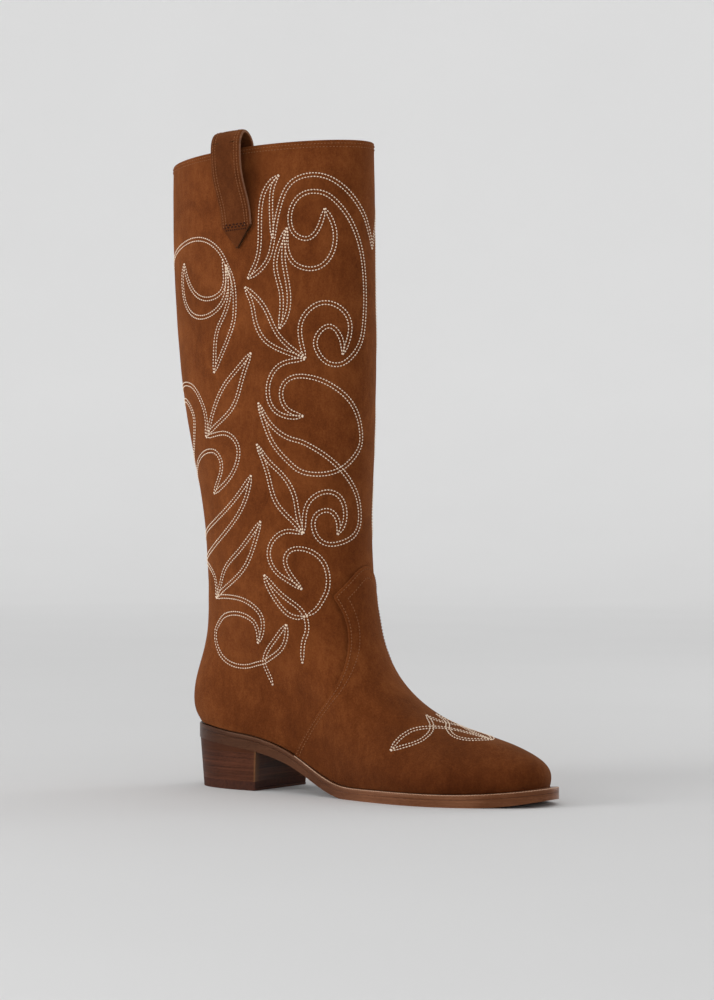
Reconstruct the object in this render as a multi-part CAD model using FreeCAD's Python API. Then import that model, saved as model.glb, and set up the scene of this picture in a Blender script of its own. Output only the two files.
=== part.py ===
import FreeCAD, Part
import math
import os

# Knee-high pull-on western boot for the right foot, millimetres.
# +X points to the toe, +Y to the medial side, +Z up. The origin is the centre of the heel cap's
# bottom face, on the floor.

V = FreeCAD.Vector

# ---------------------------------------------------------------- driving dimensions
# Profile stations, from the feather line (first) to the topline (last):
# front x, front z, back x, back z, half width of the leg there.
STATIONS = [
    (232.5, 12.2, -31.0, 42.5, 30.0),
    (233.0, 21.5, -36.5, 52.0, 31.0),
    (223.0, 31.0, -37.5, 63.0, 32.0),
    (197.0, 38.8, -35.0, 76.0, 34.0),
    (166.0, 46.5, -30.0, 92.0, 36.0),
    (134.5, 62.0, -27.0, 110.0, 37.5),
    (109.0, 92.5, -26.0, 133.0, 38.5),
    (99.0, 140.0, -26.5, 158.0, 39.5),
    (97.5, 183.0, -30.0, 187.0, 41.0),
    (99.5, 225.0, -38.5, 224.0, 42.5),
    (101.0, 275.0, -48.0, 270.0, 43.0),
    (101.0, 325.0, -54.0, 320.0, 42.5),
    (100.5, 375.0, -56.5, 370.0, 42.0),
    (100.0, 427.0, -57.0, 417.0, 41.0),
]
TOP = len(STATIONS) - 1             # station of the topline
TOPLINE_CROWN = 1.5                 # the topline is this much higher at mid side

# Sole outline: station x, half width on the lateral side, half width on the medial side.
SOLE_OUTLINE = [
    (-33.0, 0.0, 0.0), (-31.5, 9.5, 9.5), (-27.0, 17.0, 17.0), (-18.0, 23.5, 23.5),
    (-4.0, 28.2, 28.2), (12.0, 30.0, 30.0), (32.0, 29.8, 29.0), (54.0, 29.5, 26.5),
    (78.0, 31.5, 26.0), (102.0, 36.0, 30.0), (124.0, 41.0, 36.0), (146.0, 45.0, 40.5),
    (166.0, 46.0, 43.0), (184.0, 43.5, 41.5), (201.0, 37.5, 37.0), (216.0, 29.5, 30.0),
    (228.0, 22.5, 23.0), (236.0, 13.0, 13.5), (238.5, 7.0, 7.3), (239.5, 0.0, 0.0),
]
# Feather line (top of the welt): x, z.
FEATHER = [(-34.0, 42.5), (-15.0, 41.3), (5.0, 38.8), (28.0, 36.0), (43.0, 32.5), (60.0, 26.2),
           (80.0, 16.2), (100.0, 9.0), (122.0, 7.6), (150.0, 7.8), (180.0, 7.8), (205.0, 8.4),
           (225.0, 10.0), (241.0, 12.0)]
# Bottom of the outsole behind and in front of the flat tread: x, z.
BOTTOM_REAR = [(-36.0, 32.9), (-15.0, 31.6), (5.0, 29.3), (28.0, 26.4), (43.0, 23.2), (60.0, 17.6),
               (80.0, 8.2), (95.0, 2.2), (108.0, 0.0)]
BOTTOM_FRONT = [(203.0, 0.0), (215.0, 0.6), (228.0, 2.2), (242.0, 4.9)]

HEEL_INSET = 1.0                    # the sole edge stands this far outside the upper at the heel
WELT_INSET = 4.5                    # and this far at the forepart
INSET_GROWS = (35.0, 105.0)         # x between which it grows from one to the other
TOE_SHIFT = 5.0                     # the toe points this far to the medial side
TOE_SHIFT_X = (70.0, 241.0)         # x between which the foot turns to it

# Layers of the upper, as distances outward from its base surface: inner face, outer face.
VAMP = (0.15, 1.35)
SHAFT = (-1.3, 0.0)
VAMP_FILL = (-1.75, -0.1)           # toe puff and vamp interlining
BACKER = (-1.8, -1.45)
LINING = (-2.95, -1.95)
COUNTER = (-2.85, -1.45)
HEEL_GRIP = (-4.0, -3.0)
TOE_ROUND = (0.78, 0.97)            # shares of the way forward between which the toe turns round
TOE_ROUND_TOP = (2.0, 3.6)          # stations over which that fades out
LEG_BLEND = (2.6, 7.2)              # stations between which the section turns from foot to leg
LINING_SEAM = 5.5                   # station where the foot linings meet the shaft lining
COUNTER_TOP = 4.2                   # station of the heel counter's upper edge
SLIT = 0.1                          # half gap of the shaft's closing seam, on the medial side
TAPE_HALF = 6.0                     # half width of the tape behind that seam

# Vamp edge seen from the side: x, z. The first run climbs to the instep, the second drops to the sole.
VAMP_EDGE_TOP = [(112.0, 176.0), (98.5, 149.5), (94.5, 138.8), (88.8, 129.5)]
VAMP_EDGE_SIDE = [(88.8, 129.5), (94.6, 117.0), (98.2, 103.0), (99.6, 88.0), (97.0, 71.0),
                  (84.5, 56.0), (71.5, 41.0), (62.0, 26.0), (58.0, 8.0)]
# The shaft's edge under the vamp, lapped by about 9: x, z.
SHAFT_EDGE = [(124.0, 176.0), (108.0, 147.0), (102.5, 131.0), (103.0, 118.0), (106.5, 103.0),
              (108.5, 87.0), (105.5, 68.5), (92.0, 50.5), (79.5, 36.0), (71.0, 21.0), (67.0, 4.0)]

TOE_PUFF_X = 190.0                  # toe puff in front of this plane
GRIP_X = 62.0                       # heel grip behind it, vamp lining in front of it
COUNTER_X = 60.0

WELT_DEPTH = 3.2                    # welt and heel rand
WELT_BAND = 7.0                     # their hidden width under the upper
BOARD = (0.05, 2.0)                 # insole board, above the feather line
SOCK = (2.05, 3.2)
PAD_HEIGHT = 2.5                    # foam pad under the sock at the heel
PAD_FRONT = 50.0
FOOTBED_INSET = 5.6                 # from the feather line to the footbed's edge
BREAST_X = 28.5                     # heel breast, at its corners
BREAST_HOLLOW = 3.5
BREAST_RAKE = 0.06                  # forward run of the breast for each millimetre up
HEEL_TAPER = 3.6                    # the heel block is this much smaller all round at the floor
CAP_HEIGHT = 6.0
LIFTS = 5
LIFT_HEIGHT = 3.8
SHANK = (-6.0, 94.0, 14.0, 1.4)     # from x, to x, width, thickness
RIVET_X = (4.0, 84.0)
RIVET_RADIUS = 1.5
HEEL_NAIL_AT = [(-20.0, 0.0), (-9.0, -15.0), (-9.0, 15.0), (14.0, -16.0), (14.0, 16.0)]
CAP_NAIL_AT = [(-23.0, 0.0), (-16.0, -15.0), (-16.0, 15.0), (2.0, -22.5), (2.0, 22.5),
               (19.0, -23.5), (19.0, 23.5), (19.0, 0.0)]

NAIL_RADIUS, NAIL_HEAD = 1.2, 2.6   # heel nails, shank and head
PIN_RADIUS = 0.9                    # heel cap pins
PIN_REACH = 3.0                     # how far they go into the bottom lift

# Pull strap, mid thickness, in the plane across the shaft: y, z, from the outer point over the top.
STRAP_PATH = [(-43.3, 357.0), (-43.3, 373.0), (-44.2, 383.0), (-46.6, 391.0), (-49.4, 399.0),
              (-51.2, 407.0), (-51.6, 415.0), (-51.2, 423.0), (-49.2, 430.0), (-45.0, 433.6),
              (-40.2, 431.8), (-36.9, 427.0), (-36.0, 420.0), (-36.1, 405.0), (-36.4, 378.0)]
STRAP_WIDTH = 24.0
STRAP_THICK = 2.2
STRAP_X = 25.5                      # its centre at STRAP_BASE_Z, where it leans back from
STRAP_BASE_Z = 366.0
STRAP_LEAN = 3.6                    # degrees
STRAP_POINT = 15.0                  # height of the V end
HINGE = (-44.0, 424.7)              # y, z of the line the loop leans about
STRAP_SPLIT_Y = -40.0               # between the outer and the inner leg
LOOP_GAP = 0.9                      # half gap between the loop and each sewn leg

STEPS_ROUND = 60                    # columns of a surface that goes all the way round
STEP_UP = 0.4                       # station step of the rows


# ---------------------------------------------------------------- small maths
def smooth(low, high, value):
    t = min(1.0, max(0.0, (value - low) / (high - low)))
    return t * t * (3 - 2 * t)


def spline(xs, ys):
    """Natural cubic spline through the points, as a function."""
    n = len(xs)
    h = [xs[i + 1] - xs[i] for i in range(n - 1)]
    upper, rhs = [0.0] * n, [0.0] * n
    for i in range(1, n - 1):
        pull = 6 * ((ys[i + 1] - ys[i]) / h[i] - (ys[i] - ys[i - 1]) / h[i - 1])
        pivot = 2 * (h[i - 1] + h[i]) - h[i - 1] * upper[i - 1]
        upper[i] = h[i] / pivot
        rhs[i] = (pull - h[i - 1] * rhs[i - 1]) / pivot
    bend = [0.0] * n
    for i in range(n - 2, 0, -1):
        bend[i] = rhs[i] - upper[i] * bend[i + 1]

    def value(x):
        i = 0
        while i < n - 2 and x > xs[i + 1]:
            i += 1
        a = (xs[i + 1] - x) / h[i]
        b = 1 - a
        curve = ((a ** 3 - a) * bend[i] + (b ** 3 - b) * bend[i + 1]) * h[i] ** 2 / 6
        return a * ys[i] + b * ys[i + 1] + curve
    return value


def columns(rows):
    return list(zip(*rows))


# ---------------------------------------------------------------- the boot's surfaces
front_x, front_z, back_x, back_z, leg_half = [
    spline(list(range(TOP + 1)), column) for column in columns(STATIONS)]
feather = spline(*columns(FEATHER))
SOLE_BACK, SOLE_TIP = SOLE_OUTLINE[0][0], SOLE_OUTLINE[-1][0]


def sole_angle(x, back, tip):
    share = min(1.0, max(0.0, (x - back) / (tip - back)))
    return math.acos(1 - 2 * share)


outline_angles = [sole_angle(row[0], SOLE_BACK, SOLE_TIP) for row in SOLE_OUTLINE]
outline_lateral = spline(outline_angles, [row[1] for row in SOLE_OUTLINE])
outline_medial = spline(outline_angles, [row[2] for row in SOLE_OUTLINE])


def toe_shift(x):
    start, end = TOE_SHIFT_X
    return TOE_SHIFT * min(1.0, max(0.0, (x - start) / (end - start))) ** 2


def outline_at_angle(angle, side, inset):
    """Half width of the sole's outline, pulled in by inset."""
    half = outline_lateral(angle) if side < 0 else outline_medial(angle)
    return max(0.0, half - inset * math.sqrt(max(0.0, math.sin(angle))))


def upper_inset(x):
    return HEEL_INSET + (WELT_INSET - HEEL_INSET) * smooth(*INSET_GROWS, x)


def ridge_points():
    """The front profile from its foremost point up to the ankle, as (x, z) in rising x."""
    profile = [(front_x(i * 0.02), front_z(i * 0.02)) for i in range(351)]
    foremost = profile.index(max(profile))
    return sorted(profile[foremost:])


RIDGE = ridge_points()


def ridge_height(x):
    """Height of the instep and toe ridge above station x; it runs up steeply behind the ankle."""
    if x <= RIDGE[0][0]:
        return RIDGE[0][1] + 9.0 * (RIDGE[0][0] - x)
    low, high = 0, len(RIDGE) - 1
    while high - low > 1:
        mid = (low + high) // 2
        if RIDGE[mid][0] < x:
            low = mid
        else:
            high = mid
    (xa, za), (xb, zb) = RIDGE[low], RIDGE[high]
    return za + (zb - za) * min(1.0, (x - xa) / (xb - xa))


def arch(x, z):
    """Width of the foot at height z over station x, as a share of the width at the sole."""
    low = feather(x)
    rise = min(1.0, max(0.0, (z - low) / max(ridge_height(x) - low, 1e-6)))
    bulge = 1 + 0.10 * math.sin(math.pi * min(1.0, rise * 1.3))
    return math.sqrt(max(0.0, 1 - rise * rise)) * bulge


def tip_arch(station):
    """The same share for the round of the toe, taken four fifths of the way to the front."""
    x = back_x(station) + 0.8 * (front_x(station) - back_x(station))
    z = back_z(station) + 0.8 * (front_z(station) - back_z(station))
    return arch(x, z + sag(station, x))


def sag(station, x):
    """How far a low station dips from its straight line, to follow the feather line."""
    if station >= 3:
        return 0.0
    first = STATIONS[0]
    run = min(1.0, max(0.0, (x - first[2]) / (first[0] - first[2])))
    chord = first[3] + run * (first[1] - first[3])
    return (feather(x) - chord) * (1 - smooth(0.0, 3.0, station))


def base_point(station, theta):
    """Point of the upper's base surface. theta runs from the back over the lateral side to the front
    at pi, and on over the medial side."""
    theta = theta % (2 * math.pi)
    side = -1 if theta < math.pi else 1
    phi = theta if side < 0 else 2 * math.pi - theta
    share = (1 - math.cos(phi)) / 2
    xf, xb = front_x(station), back_x(station)
    x = xb + share * (xf - xb)
    z = back_z(station) + share * (front_z(station) - back_z(station))
    z += sag(station, x)
    z += TOPLINE_CROWN * math.sin(phi) ** 2 * smooth(TOP - 2, TOP, station)
    heel_x, tip_x = SOLE_BACK + HEEL_INSET, SOLE_TIP - WELT_INSET
    plan_x = x - (xb - heel_x) * (1 - smooth(0.0, 0.55, share))
    sole_half = outline_at_angle(sole_angle(plan_x, heel_x, tip_x), side, upper_inset(plan_x))
    foot_half = sole_half * arch(x, z)
    tip = smooth(*TOE_ROUND, share) * (1 - smooth(*TOE_ROUND_TOP, station))
    if tip > 0:
        round_half = outline_at_angle(phi, side, upper_inset(x)) * tip_arch(station)
        foot_half = (1 - tip) * foot_half + tip * round_half
    leg = smooth(*LEG_BLEND, station)
    half = (1 - leg) * foot_half + leg * leg_half(station) * math.sin(phi)
    return V(x, side * half + toe_shift(x) * (1 - smooth(4.0, 7.5, station)), z)


def skin_point(station, theta, outward):
    """Point at a distance outward from the base surface."""
    d = 0.02
    up = base_point(min(TOP, station + d), theta) - base_point(max(0.0, station - d), theta)
    along = base_point(station, theta + d) - base_point(station, theta - d)
    normal = along.cross(up)
    normal.normalize()
    return base_point(station, theta) + normal * outward


# ---------------------------------------------------------------- solid builders
def rows_between(low, high):
    count = max(3, int(round((high - low) / STEP_UP)))
    return [low + (high - low) * i / count for i in range(count + 1)]


def even_curve(points):
    curve = Part.BSplineCurve()
    curve.interpolate(Points=points, Parameters=[float(i) for i in range(len(points))])
    return curve


def even_surface(grid):
    """Smooth surface through a grid of points, one unit of its parameters to each grid step."""
    rows = [even_curve(row) for row in grid]
    across = list(zip(*[row.getPoles() for row in rows]))
    lines = [even_curve(list(points)) for points in across]
    net = list(zip(*[line.getPoles() for line in lines]))
    surface = Part.BSplineSurface()
    surface.buildFromPolesMultsKnots(
        net, lines[0].getMultiplicities(), rows[0].getMultiplicities(),
        lines[0].getKnots(), rows[0].getKnots(), False, False, 3, 3)
    return surface


def sheet(layer, stations, thetas):
    """Closed solid between two offsets of the base surface, over a patch of it."""
    inner, outer = [even_surface([[skin_point(s, t, outward) for t in thetas] for s in stations])
                    for outward in layer]
    walls = []
    for pick in (lambda f: f.uIso(f.bounds()[0]), lambda f: f.uIso(f.bounds()[1]),
                 lambda f: f.vIso(f.bounds()[2]), lambda f: f.vIso(f.bounds()[3])):
        walls.append(Part.makeRuledSurface(pick(inner).toShape(), pick(outer).toShape()))
    shell = Part.makeShell([inner.toShape(), outer.toShape()] + walls)
    shell.sewShape()
    solid = Part.Solid(shell)
    if solid.Volume < 0:
        solid.reverse()
    return solid


def ring(layer, low, high):
    """Sheet that goes all the way round, open by a slit along the medial side."""
    start, turn = -math.pi / 2, 2 * math.pi
    edge = SLIT / 50.0
    span = turn - 2 * edge
    thetas = [start + edge + span * i / STEPS_ROUND for i in range(STEPS_ROUND + 1)]
    return sheet(layer, rows_between(low, high), thetas)


def patch(layer, low, high, first, last):
    """Sheet over part of the way round, between two angles in degrees."""
    count = max(6, int((last - first) / 6))
    thetas = [math.radians(first + (last - first) * i / count) for i in range(count + 1)]
    return sheet(layer, rows_between(low, high), thetas)


def vamp_sheet(layer, high):
    """Sheet over the forefoot, from the lateral to the medial side."""
    return patch(layer, 0.0, high, 62, 298)


def bspline_edge(points):
    curve = Part.BSplineCurve()
    curve.interpolate(points)
    return curve.toShape()


def side_prism(chains, reach=90.0):
    """Prism across the boot from chains of (x, z) points; each chain is a smooth edge, the gaps
    between them are straight."""
    edges, last = [], None
    first = None
    for chain in chains:
        points = [V(x, -reach, z) for x, z in chain]
        if last is not None and (points[0] - last).Length > 1e-6:
            edges.append(Part.makeLine(last, points[0]))
        if len(points) > 2:
            edges.append(bspline_edge(points))
        elif len(points) == 2:
            edges.append(Part.makeLine(points[0], points[1]))
        if first is None:
            first = points[0]
        last = points[-1]
    edges.append(Part.makeLine(last, first))
    return Part.Face(Part.Wire(edges)).extrude(V(0, 2 * reach, 0))


def box(x0, x1, y0, y1, z0, z1):
    return Part.makeBox(x1 - x0, y1 - y0, z1 - z0, V(x0, y0, z0))


def curve_points(function, x0, x1, count=14, lift=0.0):
    return [(x0 + (x1 - x0) * i / count, function(x0 + (x1 - x0) * i / count) + lift)
            for i in range(count + 1)]


def slab(low, high, x0=-40.0, x1=245.0):
    """Layer across the boot between two height functions of x."""
    count = max(8, int((x1 - x0) / 7))
    return side_prism([curve_points(low, x0, x1, count), curve_points(high, x0, x1, count)[::-1]])


def outline_wire(inset, z):
    """Closed plan outline of the sole at height z, pulled in by inset(x)."""
    def loop_point(angle, side):
        back = SOLE_BACK + inset(SOLE_BACK)
        tip = SOLE_TIP - inset(SOLE_TIP)
        x = back + (tip - back) * (1 - math.cos(angle)) / 2
        return V(x, side * outline_at_angle(angle, side, inset(x)) + toe_shift(x), z)
    count = 26
    points = [loop_point(math.pi * i / count, -1) for i in range(count)]
    points += [loop_point(math.pi - math.pi * i / count, 1) for i in range(count)]
    curve = Part.BSplineCurve()
    curve.interpolate(Points=points, PeriodicFlag=True)
    return Part.Wire(curve.toShape())


def outline_prism(inset, z0=-5.0, z1=60.0):
    return Part.Face(outline_wire(inset, z0)).extrude(V(0, 0, z1 - z0))


def cylinder(x, y, z0, z1, radius):
    return Part.makeCylinder(radius, z1 - z0, V(x, y, z0))


# ---------------------------------------------------------------- cutters shared by several pieces
def seam_prisms():
    """Region behind the vamp's edge, region in front of the shaft's hidden edge, and the room of
    the fill in front of that."""
    behind = side_prism([VAMP_EDGE_TOP, VAMP_EDGE_SIDE, [(-120.0, 8.0)], [(-120.0, 480.0)],
                         [(112.0, 480.0)]])
    fronts = []
    for step in (0.0, 0.3):
        edge = [(x + step, z) for x, z in SHAFT_EDGE]
        fronts.append(side_prism([edge, [(67.0, -20.0)], [(330.0, -20.0)], [(330.0, 176.0)]]))
    return behind, fronts[0], fronts[1]


def upper_pieces():
    behind_vamp, front_of_shaft, fill_room = seam_prisms()
    pieces = {}
    pieces["shaft"] = ring(SHAFT, 0.0, TOP).cut(front_of_shaft)
    pieces["vamp"] = vamp_sheet(VAMP, 9.0).cut(behind_vamp)
    fill = vamp_sheet(VAMP_FILL, 7.0).common(fill_room)
    pieces["toe_puff"] = fill.common(box(TOE_PUFF_X, 260, -90, 90, -10, 120))
    pieces["vamp_interlining"] = fill.cut(box(TOE_PUFF_X - 0.2, 260, -90, 90, -10, 120))
    backer = ring(BACKER, LINING_SEAM + 0.2, TOP - 0.05)
    tape_room, tape_plan = tape_prisms()
    pieces["shaft_backer"] = backer.cut(tape_room).cut(front_of_shaft)
    tape_sheet = patch(BACKER, LINING_SEAM + 0.2, TOP - 0.05, 240, 300)
    pieces["closing_seam_tape"] = tape_sheet.common(tape_plan)
    pieces["shaft_lining"] = ring(LINING, LINING_SEAM, TOP - 0.03)
    foot_lining = vamp_sheet(LINING, LINING_SEAM - 0.02)
    pieces["vamp_lining"] = foot_lining.cut(box(-60, GRIP_X, -90, 90, -10, 160))
    heel_zone = box(-60, GRIP_X - 0.2, -90, 90, 0, 160)
    pieces["heel_grip"] = patch(HEEL_GRIP, 0.0, LINING_SEAM - 0.02, -112, 112).common(heel_zone)
    counter_zone = box(-60, COUNTER_X, -90, 90, 0, 160)
    pieces["heel_counter"] = patch(COUNTER, 0.0, COUNTER_TOP, -105, 105).common(counter_zone)
    sole = curve_points(feather, -60.0, 250.0, 40, 0.05)
    under_foot = side_prism([sole, [(250.0, -30.0)], [(-60.0, -30.0)]])
    return {name: piece.cut(under_foot) for name, piece in pieces.items()}


def tape_prisms():
    """The strip behind the closing seam on the medial side: its room in the backer, and itself."""
    seam = [base_point(s, 1.5 * math.pi) for s in (LINING_SEAM, 7.0, 9.0, 11.0, TOP)]
    seam[0].z, seam[-1].z = seam[0].z - 40, seam[-1].z + 30
    medial = box(-60, 110, 10, 90, 0, 470)
    prisms = []
    for half in (TAPE_HALF + 0.1, TAPE_HALF):
        left = [(p.x - half, p.z) for p in seam]
        right = [(p.x + half, p.z) for p in seam]
        prisms.append(side_prism([left, right[::-1]]).common(medial))
    return prisms


# ---------------------------------------------------------------- bottom pieces
def bottom_slab(lift, roof):
    """Layer from the outsole's bottom, lifted by lift, up to the height function roof."""
    rear = [(x, z + lift) for x, z in BOTTOM_REAR]
    front = [(x, z + lift) for x, z in BOTTOM_FRONT]
    return side_prism([rear, front, curve_points(roof, -36.0, 242.0, 20)[::-1]])


def bottom_pieces():
    pieces = {}
    edge = outline_prism(lambda x: 0.0)
    band = outline_prism(lambda x: upper_inset(x) + WELT_BAND)
    inside = outline_prism(lambda x: upper_inset(x) + WELT_BAND + 0.05)
    footbed = outline_prism(lambda x: upper_inset(x) + FOOTBED_INSET)
    middle = slab(lambda x: feather(x) - WELT_DEPTH, lambda x: feather(x) - 0.02)
    front_zone = box(BREAST_X + 4, 260, -90, 90, -20, 90)
    heel_zone = box(-60, BREAST_X + 3.9, -90, 90, -20, 90)

    outsole = edge.common(bottom_slab(0.0, lambda x: feather(x) - WELT_DEPTH - 0.05))
    rim = edge.cut(band).common(middle)
    core = inside.common(middle)
    pieces["welt"] = rim.common(front_zone)
    pieces["heel_rand"] = rim.common(heel_zone)
    shank_low = lambda x: feather(x) - WELT_DEPTH + 0.05
    shank_high = lambda x: feather(x) - WELT_DEPTH + 0.05 + SHANK[3]
    plan = box(SHANK[0], SHANK[1], -SHANK[2] / 2, SHANK[2] / 2, -20, 90)
    shank = plan.common(slab(shank_low, shank_high))
    room = box(SHANK[0] - 0.1, SHANK[1] + 0.1, -SHANK[2] / 2 - 0.1, SHANK[2] / 2 + 0.1, -20, 90)
    room = room.common(slab(lambda x: shank_low(x) - 0.5, lambda x: shank_high(x) + 0.05))
    cork = core.common(front_zone).cut(room)
    seat = core.common(heel_zone).cut(room)
    board = footbed.common(slab(lambda x: feather(x) + BOARD[0], lambda x: feather(x) + BOARD[1]))

    rivets = [cylinder(x, 0, shank_low(x) - 2, feather(x) + 6, RIVET_RADIUS)
              for x in RIVET_X]
    rivets = Part.makeCompound(rivets)
    rivet_layer = slab(shank_low, lambda x: feather(x) + BOARD[1])
    pieces["shank_rivets"] = rivets.common(rivet_layer)
    pieces["shank"] = shank.cut(rivets)
    pieces["insole_board"] = board.cut(rivets)
    pieces["cork_filler"] = cork.cut(rivets)

    rise = lambda x: PAD_HEIGHT * (1 - smooth(30.0, PAD_FRONT, x))
    pad_roof = lambda x: feather(x) + SOCK[0] + rise(x)
    pad = slab(lambda x: feather(x) + SOCK[0], pad_roof, x1=PAD_FRONT - 4)
    pieces["heel_pad"] = footbed.common(pad)
    sock = slab(lambda x: pad_roof(x) + 0.05, lambda x: feather(x) + SOCK[1] + rise(x))
    pieces["sock_lining"] = footbed.common(sock)

    add_heel(pieces, outsole, seat.cut(rivets))
    return pieces


def heel_wire(z):
    """D-shaped section of the heel block at height z: round back, straight breast."""
    top = feather(0.0)
    inset = HEEL_TAPER * (1 - z / top)
    back = SOLE_BACK + inset
    breast = BREAST_X + BREAST_RAKE * z

    def edge_point(share, side):
        x = back + (breast - back) * share * share
        angle = sole_angle(x - inset * (1 - share), SOLE_BACK, SOLE_TIP)
        half = outline_lateral(angle) if side < 0 else outline_medial(angle)
        return V(x, side * max(0.0, half - inset * 0.45 * min(1.0, 4 * share)), z)
    count = 10
    points = [edge_point(i / count, -1) for i in range(count, 0, -1)] + [V(back, 0, z)]
    points += [edge_point(i / count, 1) for i in range(1, count + 1)]
    curve = bspline_edge(points)
    return Part.Wire([curve, Part.makeLine(points[-1], points[0])])


def breast_cutter():
    """Upright cylinder that hollows the heel breast."""
    half = 28.0
    radius = (half * half + BREAST_HOLLOW ** 2) / (2 * BREAST_HOLLOW)
    centre = V(BREAST_X - BREAST_HOLLOW + radius, 0, -5)
    foot = centre - V(5 * BREAST_RAKE, 0, 0)
    return Part.makeCylinder(radius, 60, foot, V(BREAST_RAKE, 0, 1))


def add_heel(pieces, outsole, seat):
    top_of_lifts = CAP_HEIGHT + LIFTS * LIFT_HEIGHT
    block = Part.makeLoft([heel_wire(0.0), heel_wire(40.0)], True, True)
    block = block.cut(breast_cutter())
    wide = 80.0
    levels = [0.0, CAP_HEIGHT] + [CAP_HEIGHT + LIFT_HEIGHT * (i + 1) for i in range(LIFTS)]
    names = ["heel_cap"] + ["heel_lift_%d" % (i + 1) for i in range(LIFTS)]
    stack = {}
    for name, low, high in zip(names, levels, levels[1:]):
        stack[name] = block.common(box(-wide, wide, -wide, wide, low, high - 0.03))
    rear = [(x, z - 0.05) for x, z in BOTTOM_REAR]
    sole_zone = side_prism([rear, [(108.0, 90.0)], [(-36.0, 90.0)]])
    above_lifts = box(-wide, wide, -wide, wide, top_of_lifts, 60)
    stack["heel_wedge"] = block.common(above_lifts).cut(sole_zone)

    nails, pins = [], []
    for x, y in HEEL_NAIL_AT:
        head_top = feather(x) - 0.8
        stem = cylinder(x, y, CAP_HEIGHT + 2.0, head_top - 1.0, NAIL_RADIUS)
        nails.append(stem.fuse(cylinder(x, y, head_top - 1.0, head_top, NAIL_HEAD)))
    for x, y in CAP_NAIL_AT:
        pins.append(cylinder(x, y, 0.4, CAP_HEIGHT + PIN_REACH, PIN_RADIUS))
    nails, pins = Part.makeCompound(nails), Part.makeCompound(pins)
    pin_holes = Part.makeCompound([cylinder(x, y, -1.0, CAP_HEIGHT + PIN_REACH, PIN_RADIUS)
                                   for x, y in CAP_NAIL_AT])
    for name, solid in stack.items():
        pieces[name] = solid.cut(nails).cut(pin_holes)
    nail_room = Part.makeCompound([cylinder(x, y, feather(x) - 1.8, 60, NAIL_HEAD)
                                   for x, y in HEEL_NAIL_AT])
    pieces["outsole"] = outsole.cut(nails)
    pieces["seat_piece"] = seat.cut(nails).cut(nail_room)
    pieces["heel_nails"] = nails
    pieces["heel_cap_pins"] = pins


# ---------------------------------------------------------------- pull strap
def strap_run():
    """The whole strap, square ended, before its ends are pointed."""
    curve = Part.BSplineCurve()
    curve.interpolate([V(STRAP_X, y, z) for y, z in STRAP_PATH])
    begin, end = curve.FirstParameter, curve.LastParameter
    count = 24
    sides = [[], []]
    for i in range(count + 1):
        parameter = begin + (end - begin) * i / count
        at = curve.value(parameter)
        along = V(*curve.tangent(parameter)[0])
        across = V(0, -along.z, along.y)
        sides[0].append(at + across * (STRAP_THICK / 2))
        sides[1].append(at - across * (STRAP_THICK / 2))
    outer, inner = bspline_edge(sides[0]), bspline_edge(sides[1])
    ends = [Part.makeLine(sides[0][0], sides[1][0]), Part.makeLine(sides[0][-1], sides[1][-1])]
    face = Part.Face(Part.Wire(Part.__sortEdges__([outer, ends[1], inner, ends[0]])))
    face.translate(V(-STRAP_WIDTH / 2, 0, 0))
    return face.extrude(V(STRAP_WIDTH, 0, 0))


def strap_pieces():
    pivot = V(STRAP_X, 0, STRAP_BASE_Z)
    half = STRAP_WIDTH / 2
    whole = strap_run()
    tip = STRAP_PATH[0][1]
    for low in (tip, STRAP_PATH[-1][1]):
        corner = low + STRAP_POINT
        reach = (-80, -40) if low == tip else (-40, -20)
        for way in (-1, 1):
            points = [V(STRAP_X, reach[0], low + 0.05), V(STRAP_X + way * (half + 1), reach[0], low - 5),
                      V(STRAP_X + way * (half + 1), reach[0], corner + STRAP_POINT / half)]
            if way < 0:
                points.reverse()
            wedge = Part.Face(Part.makePolygon(points + points[:1])).extrude(V(0, reach[1] - reach[0], 0))
            whole = whole.cut(wedge)
    whole = max(whole.Solids, key=lambda solid: solid.Volume)
    low, high = HINGE[1] - LOOP_GAP, HINGE[1] + LOOP_GAP
    pieces = {
        "strap_loop": whole.common(box(-20, 80, -90, 0, high, 460)),
        "strap_outer_leg": whole.common(box(-20, 80, -90, STRAP_SPLIT_Y, 300, low)),
        "strap_inner_leg": whole.common(box(-20, 80, STRAP_SPLIT_Y, 0, 300, low)),
    }
    for solid in pieces.values():
        solid.rotate(pivot, V(0, 1, 0), -STRAP_LEAN)
    return pieces


def main():
    os.makedirs("parts", exist_ok=True)
    pieces = {}
    pieces.update(upper_pieces())
    pieces.update(bottom_pieces())
    pieces.update(strap_pieces())
    for name, shape in pieces.items():
        shape.exportStep("parts/%s.step" % name)
        print("%-20s solids %2d  valid %s  volume %10.2f cm3" % (
            name, len(shape.Solids), shape.isValid(), shape.Volume / 1000))


main()
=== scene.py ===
import math

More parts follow.
